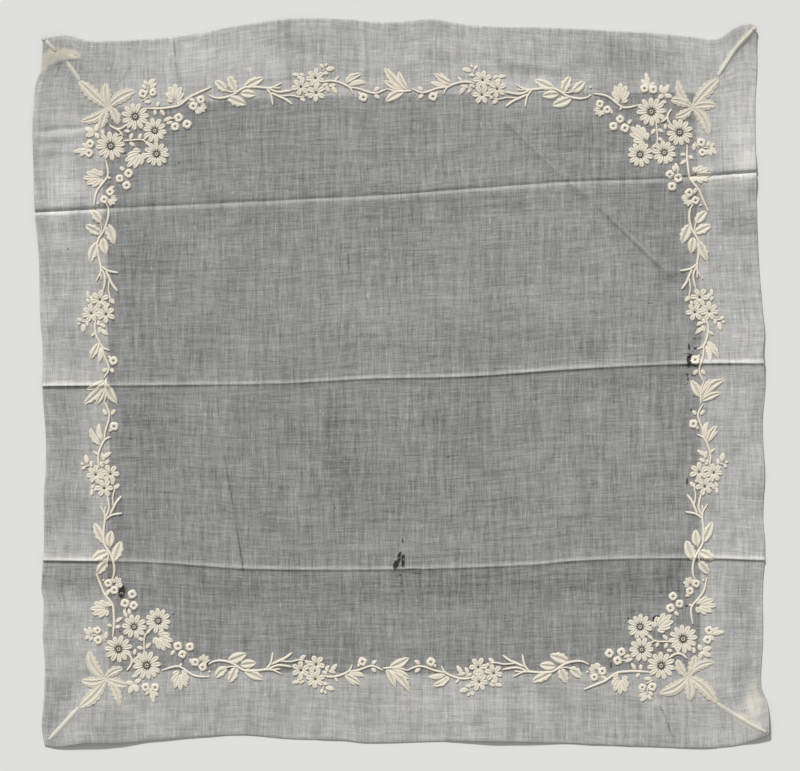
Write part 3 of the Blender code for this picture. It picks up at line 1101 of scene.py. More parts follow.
    def build(self) -> bpy.types.Object:
        """Makes the sheet with its map and finish."""
        cloth = self.cut_cloth()
        cloth.verts.ensure_lookup_table()
        cut = np.array([vertex.co[:2] for vertex in cloth.verts])
        side = 2 * self.cut_half
        layer = cloth.loops.layers.uv.new(CUT_MAP)
        for face in cloth.faces:
            for loop in face.loops:
                x, y = cut[loop.vert.index]
                loop[layer].uv = (x / side + 0.5, y / side + 0.5)
        for vertex, point in zip(cloth.verts, self.folded(cut), strict=True):
            vertex.co = point
        mesh = bpy.data.meshes.new("linen_square")
        cloth.to_mesh(mesh)
        cloth.free()
        mesh.shade_smooth()
        # broad painted light and shade, kept on the mesh's points
        shaded = mesh.attributes.new(SHADED, "FLOAT", "POINT")
        shaded.data.foreach_set("value", self.painted_broad_shading(cut).astype(np.float32))
        mesh.materials.append(self.finish.made(self.form, side, self.hem))
        return added("linen_square", mesh)

    def declare(self) -> None:
        """Works out the width, height and area that the cloth was cut to; nothing uses them."""
        half, hem = self.form.half_side * MM, self.hem
        width = 2 * half + (hem.left + hem.right) * MM
        height = 2 * half + (hem.top + hem.bottom) * MM
        strips = [hem.left, hem.right, hem.top, hem.bottom]
        area = 4 * half**2 + sum((2 * half - depth * MM) * depth * MM for depth in strips)


def added(name: str, mesh: bpy.types.Mesh) -> bpy.types.Object:
    """Puts a mesh in the scene as a piece."""
    piece = bpy.data.objects.new(name, mesh)
    bpy.context.scene.collection.objects.link(piece)
    return piece


class Side(Enum):
    """A side of the cloth, by how many quarter turns clockwise take the top side to it."""

    TOP = 0
    RIGHT = 1
    BOTTOM = 2
    LEFT = 3

    def turned(self, points: np.ndarray) -> np.ndarray:
        """Turns points, two numbers each, from the top side to this one."""
        x, y = points[..., 0], points[..., 1]
        for _ in range(self.value):
            x, y = y, -x
        return np.stack((x, y), axis=-1)


# --------------------------------------------------------------------------------------------
# Whitework stitches
# --------------------------------------------------------------------------------------------


class Stitchwork:
    """Padded stitching, gathered shape by shape and laid on the cloth as one mesh."""

    def __init__(self, form: ClothForm, base_height: float, seed: int) -> None:
        """Starts an empty piece.

        Args:
            form: the cloth that it is stitched on.
            base_height: how high the cloth's upper layer lies where it is flat.
            seed: for the slight unevenness of hand stitching.
        """
        self.form, self.base = form, base_height
        self.uneven = np.random.default_rng(seed)
        self.points: list[np.ndarray] = []
        self.faces: list[np.ndarray] = []
        self.maps: list[np.ndarray] = []
        self.tones: list[np.ndarray] = []
        self.count = 0

    def strip(self, grid: np.ndarray, stitch: np.ndarray, tone: np.ndarray, closed: bool) -> None:
        """Adds a surface over a grid of points.

        Args:
            grid: rows of points across the shape, three numbers each, in millimetres.
            stitch: their places along and across the shape.
            tone: how light each is painted, lower as painted shade.
            closed: whether the last row joins the first.
        """
        rows, across = grid.shape[:2]
        numbers = self.count + np.arange(rows * across).reshape(rows, across)
        if closed:
            numbers = np.vstack((numbers, numbers[:1]))
        quads = np.stack(
            (numbers[:-1, :-1], numbers[1:, :-1], numbers[1:, 1:], numbers[:-1, 1:]), axis=-1
        )
        self.points.append(grid.reshape(-1, 3))
        self.maps.append(stitch.reshape(-1, 2))
        self.tones.append(tone.ravel())
        self.faces.append(quads.reshape(-1, 4))
        self.count += rows * across

    def pad(
        self, route: np.ndarray, left: np.ndarray, right: np.ndarray, height: float,
        groove: float = 0.0, across: int = 7, foot: float = 0.55, closed: bool = False,
        base: float = 0.0, tone: float = 1.0, vein: float = 0.32, lines: float = 0.0,
    ) -> None:
        """Adds a padded shape along a route.

        Args:
            route: places along its middle line.
            left: half width to the left at each.
            right: half width to the right.
            height: how high its crown stands.
            groove: how deep its middle line is sunk.
            across: points across it.
            foot: painted shade where it meets the cloth, as a tone.
            closed: whether it runs round.
            base: how far its foot stands above the cloth.
            tone: tone of its crown.
            vein: how wide the sunk line is, as a share of the half width.
            lines: how deep two finer lines are sunk, one on each flank.
        """
        if closed:
            tangent = np.roll(route, -1, axis=0) - np.roll(route, 1, axis=0)
        else:
            tangent = np.gradient(route, axis=0)
        tangent /= np.maximum(np.linalg.norm(tangent, axis=1, keepdims=True), 1e-9)
        normal = np.column_stack((-tangent[:, 1], tangent[:, 0]))
        share = np.linspace(-1, 1, across)
        reach = np.where(share[None, :] < 0, right[:, None], left[:, None]) * share[None, :]
        widest = max(float(np.max(left + right)), 1e-6)
        local = np.clip((left + right) / widest * 1.35, 0.0, 1.0)[:, None]
        dome = (1 - np.abs(share) ** 2.6) ** 0.62
        flanks = np.exp(-(((np.abs(share) - 0.62) / 0.13) ** 2)) * lines
        sunk = np.exp(-((share / vein) ** 2)) * groove + flanks
        z = base + height * local * dome[None, :] - sunk[None, :] * local - 0.05
        grid = np.dstack(
            (
                route[:, None, 0] + normal[:, None, 0] * reach,
                route[:, None, 1] + normal[:, None, 1] * reach,
                z,
            )
        )
        steps = np.linalg.norm(np.diff(route, axis=0), axis=1)
        along = np.concatenate(([0.0], np.cumsum(steps)))[:, None]
        start = self.uneven.uniform(0, 30, 2)[0]  # two draws, and the second is spare
        stitch = np.dstack((np.broadcast_to(along + start, reach.shape), reach))
        # painted shade: darker at its foot and in its sunk lines
        shade = tone * (foot + (1 - foot) * dome**0.8 - 0.50 * (sunk / max(height, 0.1)))
        self.strip(grid, stitch, np.broadcast_to(shade, reach.shape), closed)

    def petal(self, x: float, y: float, turn: float, length: float, width: float,
              groove: float = 0.42) -> None:
        """Adds an oval petal with a sunk middle line, from its inner end outwards."""
        steps = np.linspace(0, 1, 9)
        route = np.column_stack((x + math.cos(turn) * steps * length,
                                 y + math.sin(turn) * steps * length))
        half = width / 2 * np.sin(np.pi * np.clip(steps**1.35 * 0.98 + 0.01, 0, 1)) ** 0.4
        self.pad(route, half, half, 0.85, groove=groove, across=11, foot=0.4)

    def dot(self, x: float, y: float, reach: float, height: float, tone: float = 1.0,
            base: float = 0.0, foot: float = 0.6) -> None:
        """Adds a round knot."""
        steps = np.linspace(-1, 1, 7)
        route = np.column_stack((x + steps * reach, np.full(7, y)))
        half = reach * np.sqrt(np.clip(1 - steps**2, 0.0, 1.0)) + 0.01
        self.pad(route, half, half, height, across=7, tone=tone, base=base, foot=foot)

    def point(self, x: float, y: float, reach: float, base: float, tone: float = 0.05,
              height: float = 0.1) -> None:
        """Adds a dark point of painted shade, where the needle pierced the cloth or a stitch."""
        self.dot(x, y, reach, height, tone=tone, base=base, foot=1.0)

    def points_round(self, x: float, y: float, turns: Sequence[float], out: Sequence[float],
                     reach: float, base: float, tone: float = 0.05) -> None:
        """Adds dark points of painted shade round a place, one at each turn and at its own distance
        out.
        """
        for turn, away in zip(turns, out, strict=True):
            at_x, at_y = x + math.cos(turn) * away, y + math.sin(turn) * away
            self.point(at_x, at_y, reach, base, tone)

    def loop(self, x: float, y: float, reach: float, thick: float, height: float,
             lobes: int = 0, depth: float = 0.0, tone: float = 1.0, base: float = 0.0) -> None:
        """Adds a ring of padded stitches, with shallow lobes if asked."""
        turns = np.linspace(0, math.tau, 24, endpoint=False)
        start = self.uneven.uniform(0, math.tau)
        radius = reach * (1 + depth * np.cos(lobes * (turns - start)))
        route = np.column_stack((x + radius * np.cos(turns), y + radius * np.sin(turns)))
        half = np.full(len(turns), thick / 2)
        self.pad(route, half, half, height, across=7, closed=True, tone=tone, base=base)

    def mesh(self, name: str, finish: bpy.types.Material) -> bpy.types.Mesh:
        """Lays all shapes on the cloth.

        Args:
            name: the mesh's name.
            finish: its material.

        Returns:
            The mesh, in metres in the part's frame.
        """
        points = np.vstack(self.points)
        height = points[:, 2] + self.base + self.form.over(points[:, 0], points[:, 1])
        placed = self.form.framed(points[:, 0], points[:, 1], height)
        faces = np.vstack(self.faces)
        mesh = bpy.data.meshes.new(name)
        mesh.from_pydata(placed.tolist(), [], faces.tolist())
        stitch = mesh.uv_layers.new(name=STITCH_MAP)
        maps = np.vstack(self.maps)[faces.ravel()].astype(np.float32)
        stitch.data.foreach_set("uv", maps.ravel())
        tone = mesh.attributes.new(TONE, "FLOAT", "POINT")
        tone.data.foreach_set("value", np.concatenate(self.tones).astype(np.float32))
        shape = bmesh.new()
        shape.from_mesh(mesh)
        bmesh.ops.recalc_face_normals(shape, faces=shape.faces)
        downward = [face for face in shape.faces if face.normal.z < 0]
        bmesh.ops.reverse_faces(shape, faces=downward)
        shape.to_mesh(mesh)
        shape.free()
        mesh.shade_smooth()
        mesh.materials.append(finish)
        return mesh


class Cut(Enum):
    """How a stitched leaf's edge is cut."""

    PLAIN = "plain"
    TOOTHED = "toothed"
    LEFT_TOOTHED = "left toothed"
    RIGHT_TOOTHED = "right toothed"


class Leaf(NamedTuple):
    """A stitched leaf from its base to its tip."""

    a: float
    b: float
    tip_a: float
    tip_b: float
    width: float
    cut: Cut = Cut.PLAIN
    bend: float = 0.0


class Stem(NamedTuple):
    """A corded stem through listed places."""

    route: tuple[tuple[float, float], ...]
    width: float = 1.1
    height: float = 0.8
    # painted shade where it meets the cloth, as a tone
    foot: float = 0.35  # tone where it meets the cloth


class Ring(NamedTuple):
    """A small ring flower."""

    a: float
    b: float
    reach: float = 2.4


class Flower(NamedTuple):
    """A flower of separate petals around a pierced middle."""

    a: float
    b: float
    reach: float
    petals: int
    inner: float


class Fan(NamedTuple):
    """A lobed leaf: lobes from near one base to their own tips."""

    a: float
    b: float
    tips: tuple[tuple[float, float], ...]
    width: float


@dataclass(frozen=True)
class Motifs:
    """A list of motifs in one layout's own places."""

    leaves: tuple[Leaf, ...] = ()
    stems: tuple[Stem, ...] = ()
    rings: tuple[Ring, ...] = ()
    flowers: tuple[Flower, ...] = ()
    fans: tuple[Fan, ...] = ()


def curve_through(places: np.ndarray, step: float) -> np.ndarray:
    """A smooth line through places, with a point every step or so.

    Args:
        places: at least two places, two numbers each.
        step: the spacing to aim at.

    Returns:
        The line's points.
    """
    runs = np.concatenate(([0.0], np.cumsum(np.linalg.norm(np.diff(places, axis=0), axis=1))))
    at = np.linspace(0, runs[-1], max(4, round(runs[-1] / step) + 1))
    return np.column_stack([smooth_read(runs, places[:, axis], at) for axis in (0, 1)])


class Layout:
    """Takes a layout's own places to places on the cloth."""

    def place(self, a: float, b: float) -> tuple[float, float]:
        """The place on the cloth."""
        raise NotImplementedError


# How far the ends of a corner's two arms stray from the plan: onwards along a and b for each arm.
Arms = tuple[tuple[float, float], tuple[float, float]]


@dataclass(frozen=True)
class CornerLayout(Layout):
    """A corner's layout: a runs along the side after the corner, b in along the one before."""

    side: Side
    x: float
    y: float
    arms: Arms = ((0.0, 0.0), (0.0, 0.0))
    arm: float = 50.0

    def place(self, a: float, b: float) -> tuple[float, float]:
        """The place on the cloth."""
        shares = np.clip(np.array([a, b]) / self.arm, 0.0, 1.1)
        stray = shares @ np.array(self.arms)
        turned = self.side.turned(np.array([a + stray[0], -b - stray[1]]))
        return self.x + float(turned[0]), self.y + float(turned[1])


class Drift(NamedTuple):
    """How far a side's vine strays from the plan: at a place along it, onwards and outwards."""

    at: float
    along: float
    out: float


@dataclass(frozen=True)
class VineLayout(Layout):
    """A side's layout: a runs clockwise along the side from its middle, b outwards."""

    side: Side
    x: float
    y: float
    drift: tuple[Drift, ...]
    mirrored: bool = False

    def place(self, a: float, b: float) -> tuple[float, float]:
        """The place on the cloth."""
        a = -a if self.mirrored else a
        keys = [row.at for row in self.drift]
        along = a + float(np.interp(a, keys, [row.along for row in self.drift]))
        out = b + float(np.interp(a, keys, [row.out for row in self.drift]))
        turned = self.side.turned(np.array([along, out]))
        return self.x + float(turned[0]), self.y + float(turned[1])


@dataclass
class Embroiderer:
    """Stitches motifs at a layout's places."""

    work: Stitchwork
    layout: Layout
    huge_leaf: float = 5.2  # a wider leaf has a vein, two finer lines and a full tip
    big_leaf: float = 3.0  # a wider leaf has a deep vein
    tooth: float = 2.9  # how far apart a cut edge's teeth are
    # the pierced ring is drawn as dark points of painted shade
    pierced: float = 1.4  # a flower with a wider middle has a pierced ring and a knot

    def leaf(self, leaf: Leaf) -> None:
        """Stitches one leaf, with teeth where its cut has them and a sunk middle vein."""
        base = np.array(self.layout.place(leaf.a, leaf.b))
        run = np.array(self.layout.place(leaf.tip_a, leaf.tip_b)) - base
        length = float(np.linalg.norm(run))
        side = np.array([-run[1], run[0]]) / max(length, 1e-6)
        toothed = leaf.cut is not Cut.PLAIN
        teeth = max(3, round(length / self.tooth))
        count = teeth * 6 + 1 if toothed else max(9, round(length / 0.8))
        t = np.linspace(0, 1, count)
        bend = leaf.bend + self.work.uneven.uniform(-0.04, 0.04)
        route = base + run * t[:, None] + side * (bend * length * np.sin(np.pi * t))[:, None]
        big, huge = leaf.width > self.big_leaf, leaf.width > self.huge_leaf
        body = np.clip(np.sin(np.pi * t ** (1.2 if huge else 0.9)), 0, 1) ** 0.7
        half = leaf.width * (0.46 if huge else 0.62) * body + 0.06
        saw = 0.80 + 0.26 * np.abs(np.sin(np.pi * t * teeth)) ** 0.8 if toothed else 1.0
        left = half * (saw if leaf.cut in (Cut.TOOTHED, Cut.LEFT_TOOTHED) else 1.0)
        right = half * (saw if leaf.cut in (Cut.TOOTHED, Cut.RIGHT_TOOTHED) else 1.0)
        self.work.pad(
            route, left * np.ones(count), right * np.ones(count), 0.95 if big else 0.72,
            groove=0.7 if big else 0.22, across=17 if big else 7, foot=0.42,
            vein=0.3, lines=0.42 if huge else 0.0,
        )

    def stem(self, stem: Stem) -> None:
        """Stitches one corded stem."""
        places = np.array([self.layout.place(a, b) for a, b in stem.route])
        route = curve_through(places, 0.9)
        t = np.linspace(0, 1, len(route))
        half = stem.width * 0.58 * np.clip(0.55 + 3.0 * np.minimum(t, 1 - t), 0, 1)
        self.work.pad(route, half, half, stem.height, across=7, foot=stem.foot)

    def ring(self, ring: Ring) -> None:
        """Stitches a ring flower: a squarish padded ring round a dark point of painted shade."""
        x, y = self.layout.place(ring.a, ring.b)
        self.work.loop(
            x, y, ring.reach * 0.58, ring.reach * 0.94, 0.9, lobes=4, depth=0.12, base=-0.05
        )
        self.work.point(x, y, 0.46, 0.42, height=0.12)
        start = self.work.uneven.uniform(0, math.tau)
        turns = [start + math.tau * n / 4 for n in range(4)]
        self.work.points_round(x, y, turns, [0.75] * 4, 0.3, 0.66, tone=0.3)

    def flower(self, flower: Flower) -> None:
        """Stitches a flower: petals round a pierced middle, drawn as dark points of painted shade,
        with a knot in a large one.
        """
        x, y = self.layout.place(flower.a, flower.b)
        uneven = self.work.uneven
        start = uneven.uniform(0, math.tau)
        inner = flower.inner * 0.86
        length = flower.reach - inner
        width = min(3.0, math.tau * (flower.inner + length * 0.62) / flower.petals)
        for n in range(flower.petals):
            turn = start + math.tau * n / flower.petals + uneven.uniform(-0.05, 0.05)
            reach = length * uneven.uniform(0.96, 1.08)
            self.work.petal(
                x + math.cos(turn) * inner, y + math.sin(turn) * inner, turn, reach, width
            )
        if flower.inner < self.pierced:
            self.work.point(x, y, 0.8, 0.2, tone=0.04, height=0.15)
            return
        self.work.point(x, y, flower.inner * 0.80, 0.22, tone=0.0)
        self.work.loop(x, y, flower.inner * 0.32, 0.7, 0.3, tone=0.62, base=0.3)
        for n in range(flower.petals):
            turn = start + math.tau * (n + 0.5) / flower.petals
            out = flower.inner * uneven.uniform(0.95, 1.1)
            self.work.points_round(x, y, [turn], [out], 0.27, 0.42)

    def fan(self, fan: Fan) -> None:
        """Stitches a lobed leaf: a rounded lobe to each tip, from near one base."""
        base = np.array(self.layout.place(fan.a, fan.b))
        for tip_a, tip_b in fan.tips:
            tip = np.array(self.layout.place(tip_a, tip_b))
            start = base + (tip - base) * 0.22
            run = tip - start
            x, y = (float(place) for place in start)
            length = float(np.linalg.norm(run)) * 1.04
            self.work.petal(x, y, math.atan2(run[1], run[0]), length, fan.width)

    def stitch(self, motifs: Motifs) -> None:
        """Stitches a whole list of motifs."""
        for stem in motifs.stems:
            self.stem(stem)
        for fan in motifs.fans:
            self.fan(fan)
        for leaf in motifs.leaves:
            self.leaf(leaf)
        for ring in motifs.rings:
            self.ring(ring)
        for flower in motifs.flowers:
            self.flower(flower)


# The big six-lobed leaf in a corner: a is along the side, b in from it.
BIG_LEAF = Motifs(
    leaves=(
        Leaf(4.7, 4.6, -11.0, -10.0, 8.0, Cut.TOOTHED, 0.04),
        Leaf(4.3, 4.7, 3.2, -8.8, 6.6, Cut.RIGHT_TOOTHED, 0.08),
        Leaf(3.5, 4.6, 18.8, -4.8, 7.4, Cut.RIGHT_TOOTHED, 0.10),
        Leaf(4.6, 3.5, -10.2, 11.4, 5.8, Cut.TOOTHED, 0.10),
        Leaf(4.2, 3.4, 0.4, 15.2, 6.6, Cut.TOOTHED, -0.06),
        Leaf(3.9, 3.4, 9.4, 13.0, 5.8, Cut.TOOTHED, 0.10),
    ),
)

# The rest of the corner spray, without its four daisies.
SPRAY = Motifs(
    leaves=(
        Leaf(24.5, -5.6, 21.8, -7.6, 1.8), Leaf(24.8, -7.4, 28.8, -11.0, 2.4),
        Leaf(25.6, -6.2, 29.6, -8.6, 2.1), Leaf(24.8, -7.2, 22.8, -10.0, 1.9),
        Leaf(26.0, -4.8, 29.4, -5.8, 2.0), Leaf(22.8, 0.9, 27.0, 1.0, 1.9),
        Leaf(33.0, 11.2, 37.6, 8.8, 1.8), Leaf(34.4, 12.4, 38.0, 11.4, 1.7),
        Leaf(45.6, -1.2, 49.6, 1.2, 1.8), Leaf(49.5, 5.4, 52.0, 7.6, 1.7),
        Leaf(-5.6, 25.6, -9.0, 22.6, 2.1), Leaf(-6.4, 25.8, -14.0, 27.2, 2.6, Cut.TOOTHED),
        Leaf(-6.4, 26.4, -10.4, 29.6, 2.2), Leaf(-2.4, 17.0, -7.8, 14.4, 2.7),
        Leaf(-2.6, 17.4, -7.6, 19.0, 2.7), Leaf(-2.2, 17.0, -1.2, 12.4, 2.3),
        Leaf(-2.2, 17.2, -0.4, 20.6, 2.3), Leaf(13.0, 36.8, 10.4, 35.0, 1.8),
        Leaf(1.4, 15.6, 2.0, 19.2, 1.7), Leaf(12.6, 16.2, 16.0, 16.6, 1.6),
        Leaf(15.6, 20.6, 17.0, 17.2, 1.8), Leaf(20.2, 20.6, 21.6, 17.4, 1.7),
        Leaf(15.4, 21.9, 18.4, 24.2, 1.8), Leaf(23.4, 21.8, 26.2, 23.6, 1.6),
        Leaf(29.4, 3.8, 30.8, 1.0, 1.7), Leaf(28.6, 5.2, 28.8, 8.4, 1.7),
        Leaf(31.4, 5.2, 33.8, 8.6, 1.8), Leaf(4.6, 46.6, 7.8, 45.0, 1.6),
    ),
    stems=(
        Stem(((5, 13), (8, 15), (11, 15), (14.5, 12.5)), 1.2),
        Stem(((8, 15), (10.5, 16.5), (12, 19)), 1.0),
        Stem(((12, 21.5), (16.5, 21), (22.5, 21), (25.5, 24)), 0.9),
        Stem(((22.5, 21), (24.5, 19.5)), 0.9),
        Stem(((23.5, 4.5), (31, 4.6), (35, 4.2), (41, 3), (47, -1.5), (50.5, -3.2), (58, -6.5)),
             1.3),
        Stem(((22, 0.7), (25.5, -1.5)), 0.8), Stem(((25, -3.5), (25.2, -7.5)), 0.7),
        Stem(((3, 31.0), (4.2, 36.5), (4.0, 40), (-1.6, 48), (-3, 55.5)), 1.2),
        Stem(((4.0, 40.2), (5.6, 41.0)), 1.4), Stem(((41, 3), (40.6, 1.2)), 1.2),
        Stem(((-6, 25.8), (-10, 26.6)), 0.7), Stem(((9.5, 18.4), (11.8, 17.6)), 0.8),
        Stem(((36, 10), (39, 9.6)), 0.7),
    ),
    rings=(
        Ring(22.5, -3.0), Ring(27.6, -3.6, 2.0), Ring(41.0, 9.4), Ring(39.2, 14.0, 2.3),
        Ring(45.4, 12.8, 2.4), Ring(48.6, 3.4, 2.3), Ring(52.6, 0.0, 2.2),
        Ring(-5.0, 23.0, 2.3), Ring(-5.6, 27.8, 2.3), Ring(15.0, 38.4, 2.4),
        Ring(10.4, 41.0, 2.2), Ring(14.0, 44.6, 2.3), Ring(5.4, 48.0, 2.2), Ring(2.4, 52.0, 2.2),
    ),
    fans=(
        Fan(39.0, 1.4, ((39.2, -8.0), (36.2, -6.6), (42.2, -6.4), (34.8, -3.6), (43.4, -3.4),
                        (35.4, -0.2), (42.8, 0.2)), 3.2),
        Fan(2.2, 40.6, ((-8.4, 40.8), (-6.8, 37.8), (-6.8, 43.8), (-3.8, 36.4), (-3.8, 45.0),
                        (-0.2, 37.2), (-0.4, 44.2)), 3.2),
        Fan(22.4, 26.6, ((17.4, 26.4), (14.6, 28.8), (13.4, 31.8), (14.6, 34.8), (18.0, 35.4),
                         (21.4, 33.8), (23.6, 30.8)), 3.2),
        Fan(51.6, 3.0, ((54.8, 2.4), (55.6, 4.4), (54.4, 6.4), (52.4, 7.2), (50.6, 6.0)), 2.1),
        Fan(5.0, 50.8, ((8.2, 50.4), (9.0, 52.4), (7.8, 54.4), (5.8, 55.2), (4.0, 54.0)), 2.1),
    ),
)

DAISIES = (
    Flower(17.6, 8.8, 7.1, 11, 2.3), Flower(5.7, 24.1, 7.5, 12, 2.4),
    Flower(28.6, 16.1, 6.3, 10, 2.0), Flower(29.1, 28.3, 6.5, 11, 2.1),
)

# Half of a side's vine: a runs from the side's middle, below 0 towards its start, b outwards.
HALF_VINE = Motifs(
    leaves=(
        Leaf(-90, -1, -96.2, 4.6, 4.3, Cut.LEFT_TOOTHED), Leaf(-85, -1, -89, 7.2, 4.6, Cut.TOOTHED),
        Leaf(-81, 1, -70.8, 6.2, 4.4, Cut.LEFT_TOOTHED), Leaf(-83, -1.8, -74.6, -2.6, 4.2),
        Leaf(-89.5, -4, -79.8, -7.6, 4.9, Cut.RIGHT_TOOTHED), Leaf(-56.2, 8.1, -51.6, 7.6, 1.8),
        Leaf(-53.6, 6.6, -50.0, 5.4, 1.8), Leaf(-52.0, 8.6, -49.4, 6.8, 1.5),
        Leaf(-38.6, 10.3, -33.6, 11.2, 2.4), Leaf(-40.4, 8.4, -36.8, 8.4, 1.7),
        Leaf(-39.6, 11.2, -41.4, 13.4, 1.7), Leaf(-39.0, 12.0, -38.0, 13.8, 1.3),
        Leaf(-52, -3.8, -49, -6.2, 2.0), Leaf(-49.4, -3.4, -47.4, -2.0, 1.6),
        Leaf(-40.4, 2.0, -37.2, 3.4, 1.7), Leaf(-38.6, 1.8, -36.6, -1.4, 1.8),
        Leaf(-35.6, 2.2, -32.4, -2.4, 2.1), Leaf(-37.2, 1.6, -32.8, 2.6, 1.7),
        Leaf(-34, 4.4, -31.6, 7.2, 1.3), Leaf(-28.6, 3.2, -19.8, 8.2, 3.2, Cut.LEFT_TOOTHED, 0.08),
        Leaf(-26.6, 2.2, -17.4, 3.6, 2.8, Cut.PLAIN, 0.08), Leaf(-13.4, -0.8, -10.4, 1.4, 1.9),
        Leaf(-13.4, -2.6, -10.4, -4.8, 1.9), Leaf(-28.4, 3.6, -22.4, 8.8, 1.6),
        Leaf(-21.5, -1.2, -20.4, -3.0, 1.4),
    ),
    stems=(
        Stem(((-98.5, 1.5), (-99.5, 1.0)), 1.3),
        Stem(((-99.5, -2.6), (-97, -4), (-93, -4.4), (-87.5, -3), (-81, 1), (-75, 1.4), (-67, 1),
              (-61.5, 3.5)), 1.3),
        Stem(((-69, 1.2), (-65.5, -0.6), (-62.5, -1.2), (-56, -0.2)), 1.2),
        Stem(((-66, 1), (-62, 0.8)), 0.9),
        Stem(((-69.6, 0.9), (-67.2, -2.3), (-66, -8)), 1.2),
        Stem(((-67, -1.6), (-63.5, -3.2), (-59.5, -5), (-56, -7.6)), 1.4),
        Stem(((-62.5, -3.4), (-56.5, -3.0), (-52.5, -3.8), (-49.6, -3.5)), 0.9),
        Stem(((-93, 0.4), (-88, -1.2), (-84, -0.6)), 0.8),
        Stem(((-40.5, 4), (-36, 4.6), (-31.5, 3.8), (-26, 1), (-24.4, -2.2)), 1.2),
        Stem(((-26.6, 1.4), (-21, 0.4), (-15.5, -1.5), (-12, -1.7), (-6.5, 0.5)), 1.1),
        Stem(((-39.4, 9.4), (-39.8, 11.4)), 0.7), Stem(((-38.6, 3.4), (-37.2, 0.6)), 0.7),
    ),
    rings=(Ring(-19, -4),),
    flowers=(
        Flower(-51.5, 1.6, 4.9, 6, 0.75), Flower(-44, 6.1, 4.9, 7, 0.75),
        Flower(-43.6, -1.5, 4.9, 6, 0.75),
    ),
)

# The leaves in the middle of a side, which all point back to its start.
MIDDLE_LEAVES = Motifs(
    leaves=(
        Leaf(2.4, -0.8, -8.0, 11.4, 4.4, Cut.LEFT_TOOTHED, 0.06),
        Leaf(1.4, 0.2, -8.4, 5.0, 3.2, Cut.PLAIN, 0.05),
        Leaf(4.6, -0.4, -0.6, 9.6, 3.3, Cut.PLAIN, 0.06),
        Leaf(2.6, -0.8, -7.6, -6.2, 4.2, Cut.PLAIN, -0.04),
    ),
    stems=(Stem(((-6.6, 0.5), (-2, -0.9), (2.4, -0.9), (6.6, -0.6)), 1.1),),
)


class CornerPlan(NamedTuple):
    """A corner: its turn, its own place, and how far its motifs stray from the plan."""

    name: str
    side: Side
    x: float
    y: float
    stray: tuple[float, float]  # of all but the big leaf and the daisies
    arms: Arms
    daisies: tuple[tuple[float, float], ...]


CORNERS = (
    CornerPlan(
        "top_left", Side.TOP, -156.5, 147.2, (0, 0), ((0, 0), (0, 0)),
        ((0.8, 0), (0, 0), (0, 0), (0.4, 0)),
    ),
    CornerPlan(
        "top_right", Side.RIGHT, 155.3, 147.4, (-2.2, 0), ((0, 0), (0, -2.2)),
        ((-1.6, 0.3), (-1.1, -0.8), (-2.4, 0.8), (-2.7, 0.3)),
    ),
    CornerPlan(
        "bottom_right", Side.BOTTOM, 153.1, -156.5, (0, 0), ((0, 3.4), (-2.6, 0)),
        ((-0.2, 0.7), (-0.7, -0.7), (0.6, 1.8), (0.3, 1.4)),
    ),
    CornerPlan(
        "bottom_left", Side.LEFT, -157.4, -157.8, (1.4, 2.1), ((-1.0, 3.7), (5.4, 0.8)),
        ((1.9, 1.8), (1.2, 5.2), (2.7, 2.4), (3.0, 5.0)),
    ),
)


class VinePlan(NamedTuple):
    """A side's vine: its turn, the place of its middle, and its drift from the plan."""

    name: str
    side: Side
    x: float
    y: float
    drift: tuple[Drift, ...]


VINES = (
    VinePlan("top", Side.TOP, -0.5, 152.4, (
        Drift(-100, 0, 0), Drift(0, 0, 0), Drift(19, -1.8, 0.4), Drift(47, -1, -1.2),
        Drift(67, -1, -1), Drift(100, 0, 0),
    )),
    VinePlan("right", Side.RIGHT, 156.0, -3.6, (
        Drift(-100, 3, -1.5), Drift(-67, 4.2, -3.1), Drift(-47, 3.1, -2.1), Drift(-19, 3.4, 0.8),
        Drift(0, 2, 0.8), Drift(19, -1.3, 0), Drift(47, -1, 0.5), Drift(67, -2.7, -0.3),
        Drift(100, 0, 0),
    )),
    VinePlan("bottom", Side.BOTTOM, -0.5, -148.9, (
        Drift(-100, 1.5, 0), Drift(-47, 2.9, 0.3), Drift(3, 2.9, 0), Drift(19, 0.5, 0),
        Drift(47, 0, -1.3), Drift(67, 0, -1), Drift(100, 0, 0),
    )),
    VinePlan("left", Side.LEFT, -153.9, -3.6, (
        Drift(-100, 0, -0.5), Drift(-67, 2, -1), Drift(-47, 0, -1.4), Drift(-19, 0, -0.8),
        Drift(2.5, 0.9, 0.1), Drift(19, -3.9, -0.5), Drift(44, -4.2, 1), Drift(67, -5.2, 1),
        Drift(84, -3.9, 3.1), Drift(100, -2, 2),
    )),
)


@dataclass
class StitchedPiece:
    """What every stitched piece needs: the cloth, its thread, and how high the cloth lies."""

    form: ClothForm
    finish: bpy.types.Material
    base_height: float
    seed: int

    def begun(self) -> Stitchwork:
        """Starts the piece's stitching."""
        return Stitchwork(self.form, self.base_height, self.seed)

    def finished(self, name: str, work: Stitchwork) -> bpy.types.Object:
        """Puts the stitching in the scene as a piece."""
        return added(name, work.mesh(name, self.finish))


@dataclass
class CornerSpray(StitchedPiece):
    """One corner's spray: a big six-lobed leaf, four pierced daisies, rings, leaves and stems."""

    plan: CornerPlan

    def build(self) -> bpy.types.Object:
        """Stitches the spray."""
        plan, work = self.plan, self.begun()
        Embroiderer(work, CornerLayout(plan.side, plan.x, plan.y)).stitch(BIG_LEAF)
        drawn = CornerLayout(plan.side, plan.x + plan.stray[0], plan.y + plan.stray[1], plan.arms)
        Embroiderer(work, drawn).stitch(SPRAY)
        for daisy, (stray_x, stray_y) in zip(DAISIES, plan.daisies, strict=True):
            layout = CornerLayout(plan.side, plan.x + stray_x, plan.y + stray_y)
            Embroiderer(work, layout).flower(daisy)
        return self.finished(f"spray_{plan.name}", work)


